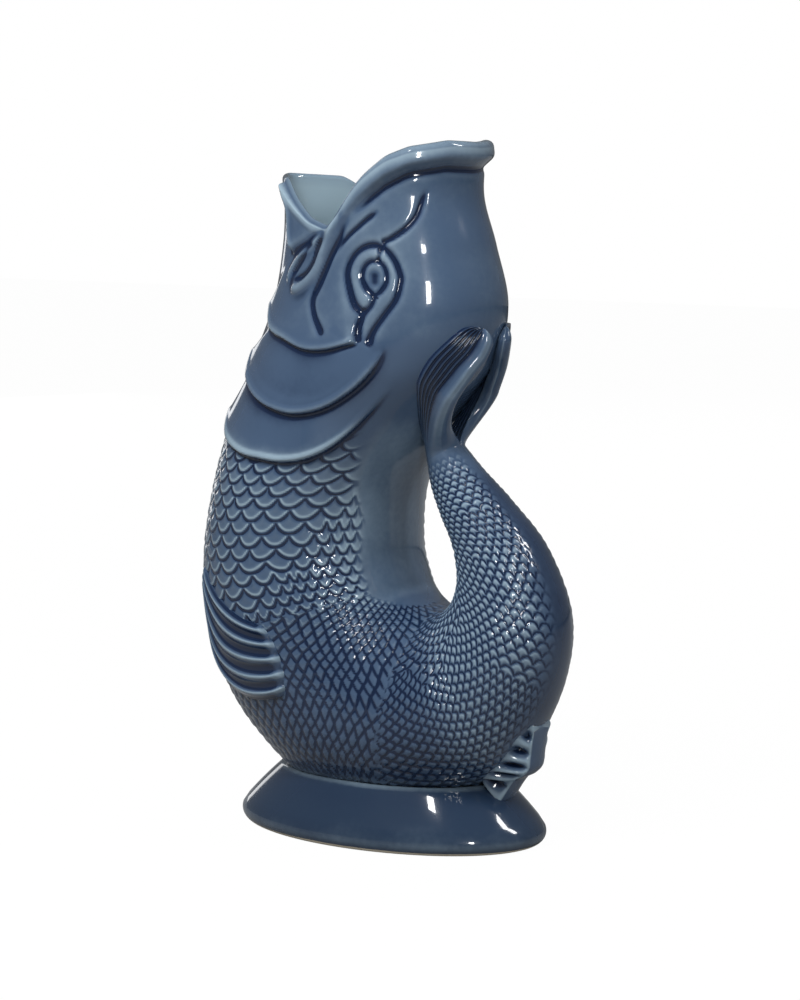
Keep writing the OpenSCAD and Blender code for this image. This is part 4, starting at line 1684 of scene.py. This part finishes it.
@dataclass
class TailLobes:
    """The two leaves of the tail fin, which part at the neck and clasp the nape.

    The outer margin goes by station and turn. So does the inner roll, whose third value is how
    far it stands off the nape, as a share of the leaf's thickness.
    """

    skin: Skin
    builder: Builder
    outer: Table = (
        (5.5, 168), (4.92, 156), (4.52, 147), (4.16, 141), (3.84, 141), (3.56, 146),
        (3.32, 154), (3.24, 163),
    )
    inner: Table = (
        (5.2, 174.5, 1.2), (4.95, 166.5, 1.28), (4.68, 162.6, 1.07), (4.42, 163, 0.7),
        (4.1, 165.4, 0.44), (3.84, 169.5, 0.38), (3.58, 171.6, 0.34), (3.42, 172.3, 0.3),
    )
    thickness: float = 7 * MM
    tip_share: float = 0.6
    tip_from: float = 0.84
    tip_width: float = 0.16
    parting: Range = (0.06, 0.4)
    neck_start: float = 0.35
    neck_length: float = 1.1
    sink: float = 0.5 * MM
    lift: float = 1.9 * MM
    rays: int = 6
    ray_depth: float = 0.75 * MM
    ray_start: Range = (0.06, 0.2)
    ray_end: float = 0.12
    tone_start: Range = (0.08, 0.32)
    ribs: int = 5
    rib_depth: float = 0.4 * MM
    rows: int = 190
    face_points: int = 64
    roll_points: int = 16
    back_points: int = 36

    def build(self) -> None:
        """Builds both leaves."""
        f = np.linspace(0, 1, self.rows)[:, None]
        parted = smoothstep(*self.parting, f)
        line = self.leaf_line(f)
        face, face_tone, rays = self.face(f, parted, line)
        roll, roll_tone = self.roll(f, line)
        back, back_tone = self.back(f, rays, line)
        leaf = np.concatenate([face, roll, back], axis=1)
        glaze = np.concatenate([face_tone, roll_tone, back_tone], axis=1)
        w = parted[..., None]
        rings = self.neck(f) * (1 - w) + self.rounded_tip(leaf, f) * w
        for side in Side:
            name = f"tail_lobe_{side.name.lower()}"
            if side is Side.RIGHT:
                surface = capped_band(rings * np.array([1, -1, 1.0]), glaze, 0 * glaze)
            else:
                surface = capped_band(rings[:, ::-1], glaze[:, ::-1], 0 * glaze)
            self.builder.dress(surface.make(name), "sprig_glaze", name)

    def leaf_line(self, f: np.ndarray) -> LeafLine:
        """Works out where the left leaf lies.

        Args:
            f: Share of the leaf's length at each ring.

        Returns:
            Its margin and roll.
        """
        outer, inner = smooth_path(self.outer, self.rows), smooth_path(self.inner, self.rows)
        margin = self.skin.point(outer[:, 0], outer[:, 1], -self.sink)
        middle = self.skin.point(inner[:, 0], inner[:, 1], inner[:, 2] * self.thickness)
        radius = self.thickness / 2 * (1 - (1 - self.tip_share) * f**2)
        along = middle - margin
        length = np.linalg.norm(along, axis=1, keepdims=True)
        along /= length
        out = np.cross(along, np.gradient(margin + middle, axis=0))
        out /= np.linalg.norm(out, axis=1, keepdims=True)
        return LeafLine(margin, middle, radius, length, along, out)

    def face(self, f: np.ndarray, parted: np.ndarray, line: LeafLine) -> tuple[np.ndarray, ...]:
        """Shapes the leaf's rayed face, from its margin up to its roll.

        Args:
            f: Share of the leaf's length at each ring.
            parted: How far the leaf has come away from the neck there.
            line: Where the leaf lies.

        Returns:
            Points, the glaze's tone, and how deep the rays are cut at each.
        """
        outer, inner = smooth_path(self.outer, self.rows), smooth_path(self.inner, self.rows)
        e = np.linspace(0, 1, self.face_points)[None, :]
        spot = outer[:, None, :2] + (inner[:, None, :2] - outer[:, None, :2]) * e[..., None]
        left = (1 - e) * line.length
        band = smoothstep(0, 1, (1.75 * line.radius - left) / (1.35 * line.radius))
        rayed_length = np.maximum(line.length - 1.5 * line.radius, 1 * MM)
        place = np.clip(e * line.length / rayed_length, 0, 1)
        valley = 1 - np.cos(math.pi * self.rays * place) ** 2
        rays = smoothstep(*self.ray_start, f) * smoothstep(0, self.ray_end, 1 - f) * (1 - band)
        lift = self.lift * smoothstep(0, 0.12, e) * (1 - 0.45 * bell(place - 0.8, 0.3))
        low = (lift - self.sink) * (1 - band) - self.ray_depth * valley * rays
        rise = inner[:, 2:] * self.thickness * e**1.3
        points = self.skin.point(spot[..., 0], spot[..., 1], rise + low)
        points = points + line.out[:, None] * (line.radius * band)[..., None]
        clear = smoothstep(*self.tone_start, f)
        tone = 0.5 * band - (0.25 + 0.95 * valley) * rays - 0.3 * (1 - band) * parted
        return points, tone * clear + 0.05 * (1 - clear), rays

    def roll(self, f: np.ndarray, line: LeafLine) -> tuple[np.ndarray, np.ndarray]:
        """Rolls the leaf's free edge round its middle, from the face to the back.

        Args:
            f: Share of the leaf's length at each ring.
            line: Where the leaf lies.

        Returns:
            Points, and the glaze's tone at each, palest along the crest.
        """
        angle = np.linspace(90, -90, self.roll_points + 2)[None, 1:-1]
        cos, sin = np.cos(np.radians(angle))[..., None], np.sin(np.radians(angle))[..., None]
        turned = line.along[:, None] * cos + line.out[:, None] * sin
        tone = 0.5 - 1.0 * (1 - np.abs(angle - 10) / 100) + 0.9 * bell(angle + 5, 12)
        tone = tone * smoothstep(0.12, 0.32, f)
        return line.middle[:, None] + line.radius[..., None] * turned, tone

    def back(self, f: np.ndarray, rays: np.ndarray, line: LeafLine) -> tuple[np.ndarray, ...]:
        """Shapes the leaf's ribbed back, from its roll down to its margin.

        Args:
            f: Share of the leaf's length at each ring.
            rays: How deep the rays of the face are cut.
            line: Where the leaf lies.

        Returns:
            Points, and the glaze's tone at each.
        """
        v = np.linspace(0, 1, self.back_points + 1)[None, :-1]
        wave = np.cos(2 * math.pi * self.ribs * v)
        rib = self.rib_depth * wave * smoothstep(0, 0.15, v) * rays.max(1)[:, None]
        points = line.middle[:, None] + (line.margin - line.middle)[:, None] * v[..., None]
        points = points - line.out[:, None] * (line.radius * (1 - v) ** 0.7 + rib)[..., None]
        return points, (-0.75 + 0.8 * wave**5) * smoothstep(0.05, 0.25, f)

    def rounded_tip(self, leaf: np.ndarray, f: np.ndarray) -> np.ndarray:
        """Draws the last rings in towards their middle, so that the leaf ends round.

        Args:
            leaf: The leaf's rings.
            f: Share of its length at each.

        Returns:
            The rings once drawn in.
        """
        near = np.clip((f - self.tip_from) / self.tip_width, 0, 0.995)
        middle = leaf.mean(1, keepdims=True)
        return middle + (leaf - middle) * np.sqrt(1 - near**2)[..., None]

    def neck(self, f: np.ndarray) -> np.ndarray:
        """Lays rings round half of the neck, in the order of the leaf's points.

        Args:
            f: Share of the leaf's length at each ring.

        Returns:
            The rings.
        """
        station = self.skin.tail_end - self.neck_start + self.neck_length * f
        face = np.linspace(179, 62, self.face_points)[None, :]
        roll = np.linspace(60, 2, self.roll_points)[None, :]
        rise = -0.16 * MM + 0.2 * MM * smoothstep(0, 0.1, f)
        round_part = self.skin.point(station, np.concatenate([face, roll], axis=1), rise)
        front = self.skin.point(station[:, 0], 0, 0)[:, None]
        rear = self.skin.point(station[:, 0], 180, 0)[:, None]
        v = np.linspace(0.02, 0.98, self.back_points)[None, :, None]
        return np.concatenate([round_part, front + (rear - front) * v], axis=1)


@dataclass
class Foot:
    """The oval foot, spun from its outline, with a bare ring under its edge."""

    builder: Builder
    length: float = 133.5 * MM
    width: float = 82 * MM
    height: float = 24 * MM
    waist: float = 97 * MM
    edge_height: float = 8.5 * MM
    edge_turn: float = 0.62
    ring: float = 5 * MM
    wall: float = 4.2 * MM
    shift: float = 1.4 * MM
    arc_steps: int = 10
    flare_steps: int = 24
    spin_steps: int = 160

    def flare(self, t: float) -> tuple[float, float]:
        """Follows the hollow flare.

        Args:
            t: 0 at the rounded edge, 1 at the waist.

        Returns:
            Radius and height.
        """
        r, edge = self.length / 2, self.edge_height / 2
        a = (r - edge / 2, self.edge_height)
        b = (self.waist / 2 + (r - self.waist / 2) / 2,
             self.edge_height + (self.height - self.edge_height) / 2)
        c = (self.waist / 2, self.height)
        weights = ((1 - t) ** 2, 2 * t * (1 - t), t * t)
        return tuple(sum(w * p[i] for w, p in zip(weights, (a, b, c))) for i in (0, 1))

    def build(self) -> None:
        """Builds the foot."""
        r, edge = self.length / 2, self.edge_height / 2
        arc = [
            (r - edge + edge * math.sin(a), edge - edge * math.cos(a))
            for a in np.linspace(0, math.pi * self.edge_turn, self.arc_steps)
        ]
        outer = [self.flare(t) for t in np.linspace(0, 1, self.flare_steps)]
        inner = [
            (p[0] - self.wall, max(p[1] - self.wall, self.wall / 2)) for p in outer[::-3]
        ]
        outline = [
            (r - edge - self.ring, 0.0), *arc, *outer[1:],
            (self.waist / 2 - self.wall, self.height), *inner,
        ]
        piece = Bench.spun("foot", outline, self.shift, self.spin_steps, self.width / self.length)
        spots = np.empty(len(piece.data.vertices) * 3, np.float32)
        piece.data.vertices.foreach_get("co", spots)
        z = spots.reshape(-1, 3)[:, 2]
        glaze = 0.45 * bell(z - self.height, 1.2 * MM) + 0.25 * bell(z - 3.5 * MM, 2 * MM)
        # Painted shade: darker up the flare towards the waist, under the body
        glaze -= 0.35 * smoothstep(8 * MM, 20 * MM, z) * (z < self.height - 1.5 * MM)
        write_finish(piece.data, glaze, np.zeros_like(z))
        self.builder.dress(piece, "foot_glaze", "foot")


@dataclass(frozen=True)
class Softbox:
    """A rectangular lamp that faces the jug, its power in watts."""

    name: str
    place: tuple[float, float, float]
    width: float
    height: float
    power: float
    mirrored: bool = True


@dataclass
class Studio:
    """Floor, lamps and camera. The colours are written in 0 to 255."""

    floor_size: float = 6.0
    floor_lit: Colour = (120, 122, 124)
    floor_seen: Colour = (240, 240, 240)
    floor_glow: float = 0.985
    room: tuple[float, float, float, float] = (0.96, 0.98, 1, 1)
    room_light: float = 0.12
    azimuth: float = 33.0
    distance: float = 1.150
    camera_height: float = 0.280
    aim: tuple[float, float, float] = (0.0025, 0.0, 0.131)
    slide: float = 0.0023
    picture_height: float = 388.0 * MM
    sensor: float = 36.0
    softboxes: tuple[Softbox, ...] = (
        Softbox("key softbox", (1.04, -0.98, 0.57), 0.11, 0.34, 4.2),
        Softbox("small softbox", (0.2, -0.6, 1.15), 0.08, 0.14, 1),
        Softbox("back softbox", (0.95, 0.4, 1.05), 0.15, 0.5, 4),
        Softbox("high softbox", (-0.05, -0.75, 0.95), 0.7, 0.5, 14.5, False),
        Softbox("rim softbox", (-1.4, 0.8, 0.6), 1.2, 1.4, 12, False),
        Softbox("edge softbox", (-1.4, 0.8, 0.5), 0.2, 1.4, 1.3),
        Softbox("far softbox", (-0.2, 1.5, 0.8), 1.0, 1.0, 9, False),
        Softbox("side softbox", (1.5, 0.1, 0.6), 1.0, 1.0, 3, False),
    )

    def build(self) -> None:
        """Sets the scene."""
        self.build_floor()
        self.build_world()
        self.build_camera()
        for softbox in self.softboxes:
            self.add_lamp(softbox)
        view = bpy.context.scene.view_settings
        view.view_transform = "Standard"

    def build_floor(self) -> None:
        """Lays the pale floor, which the camera sees white."""
        Bench.clear()
        bpy.ops.mesh.primitive_plane_add(size=self.floor_size, location=(0, 0, 0))
        floor = bpy.context.object
        floor.name = "floor"
        tree = Tree(bpy.data.materials.new("pale floor"))
        ray = tree.node("ShaderNodeLightPath", {}, (), "Is Camera Ray")
        colour = tree.mix(ray, linear(*self.floor_lit), linear(*self.floor_seen))
        paint = tree.node("ShaderNodeBsdfDiffuse", {}, {"Color": colour})
        glow = tree.node("ShaderNodeEmission", {}, {"Color": (1, 1, 1, 1), "Strength": 1.0})
        mixed = tree.node("ShaderNodeMixShader", {}, {0: ray * self.floor_glow, 1: paint, 2: glow})
        tree.node("ShaderNodeOutputMaterial", {}, {"Surface": mixed})
        floor.data.materials.append(tree.owner)

    def build_world(self) -> None:
        """Gives the room an even pale light, white where the camera sees it."""
        world = bpy.data.worlds.new("studio")
        bpy.context.scene.world = world
        tree = Tree(world)
        room, seen = (
            tree.node("ShaderNodeBackground", {}, {"Color": colour, "Strength": strength})
            for colour, strength in ((self.room, self.room_light), ((1, 1, 1, 1), 1.0))
        )
        ray = tree.node("ShaderNodeLightPath", {}, (), "Is Camera Ray")
        mixed = tree.node("ShaderNodeMixShader", {}, {0: ray, 1: room, 2: seen})
        tree.node("ShaderNodeOutputWorld", {}, {"Surface": mixed})

    def build_camera(self) -> None:
        """Puts the camera where the photograph was taken from."""
        angle = math.radians(self.azimuth)
        right = np.array([math.cos(angle), math.sin(angle), 0])
        aim = np.array(self.aim) + right * self.slide
        eye = aim + self.distance * np.array([math.sin(angle), -math.cos(angle), 0])
        eye[2] = self.camera_height
        data = bpy.data.cameras.new("camera")
        data.sensor_fit = "VERTICAL"
        data.sensor_height = self.sensor
        data.lens = self.sensor * self.distance / self.picture_height
        camera = bpy.data.objects.new("camera", data)
        bpy.context.scene.collection.objects.link(camera)
        camera.location = eye
        camera.rotation_euler = self.towards(aim - eye)
        bpy.context.scene.camera = camera

    @staticmethod
    def towards(direction: np.ndarray) -> Any:
        """Turn that points an object's -Z along a direction, with its top up."""
        return Vector(direction.tolist()).to_track_quat("-Z", "Y").to_euler()

    def add_lamp(self, softbox: Softbox) -> None:
        """Adds one softbox.

        Args:
            softbox: The lamp. Unless it is mirrored, the glaze doesn't show it as a highlight.
        """
        data = bpy.data.lights.new(softbox.name, "AREA")
        data.shape = "RECTANGLE"
        data.size, data.size_y, data.energy = softbox.width, softbox.height, softbox.power
        lamp = bpy.data.objects.new(softbox.name, data)
        bpy.context.scene.collection.objects.link(lamp)
        lamp.visible_glossy = softbox.mirrored
        lamp.location = softbox.place
        lamp.rotation_euler = self.towards(np.array(self.aim) - np.array(softbox.place))


def main() -> None:
    """Builds the jug and its studio."""
    logging.basicConfig(level=logging.INFO, format="%(message)s")
    Bench.clear()
    Studio().build()
    skin = Skin()
    builder = Builder({
        "scaled_glaze": Glaze("scaled glaze").material(),
        "head_glaze": Glaze("head glaze").material(),
        "sprig_glaze": Glaze("sprig glaze").material(),
        # The foot's darker face colour is painted shade, for the body's shadow and dark reflection
        # on it
        "foot_glaze": Glaze("foot glaze with painted shade", face=(35, 51, 72), bare_to=1.0 * MM).material(),
    })
    Foot(builder).build()
    Vessel(Relief(skin), builder).build()
    PectoralFins(skin, builder).build()
    RearFin(skin, builder).build()
    TailLobes(skin, builder).build()


if __name__ == "__main__":
    main()
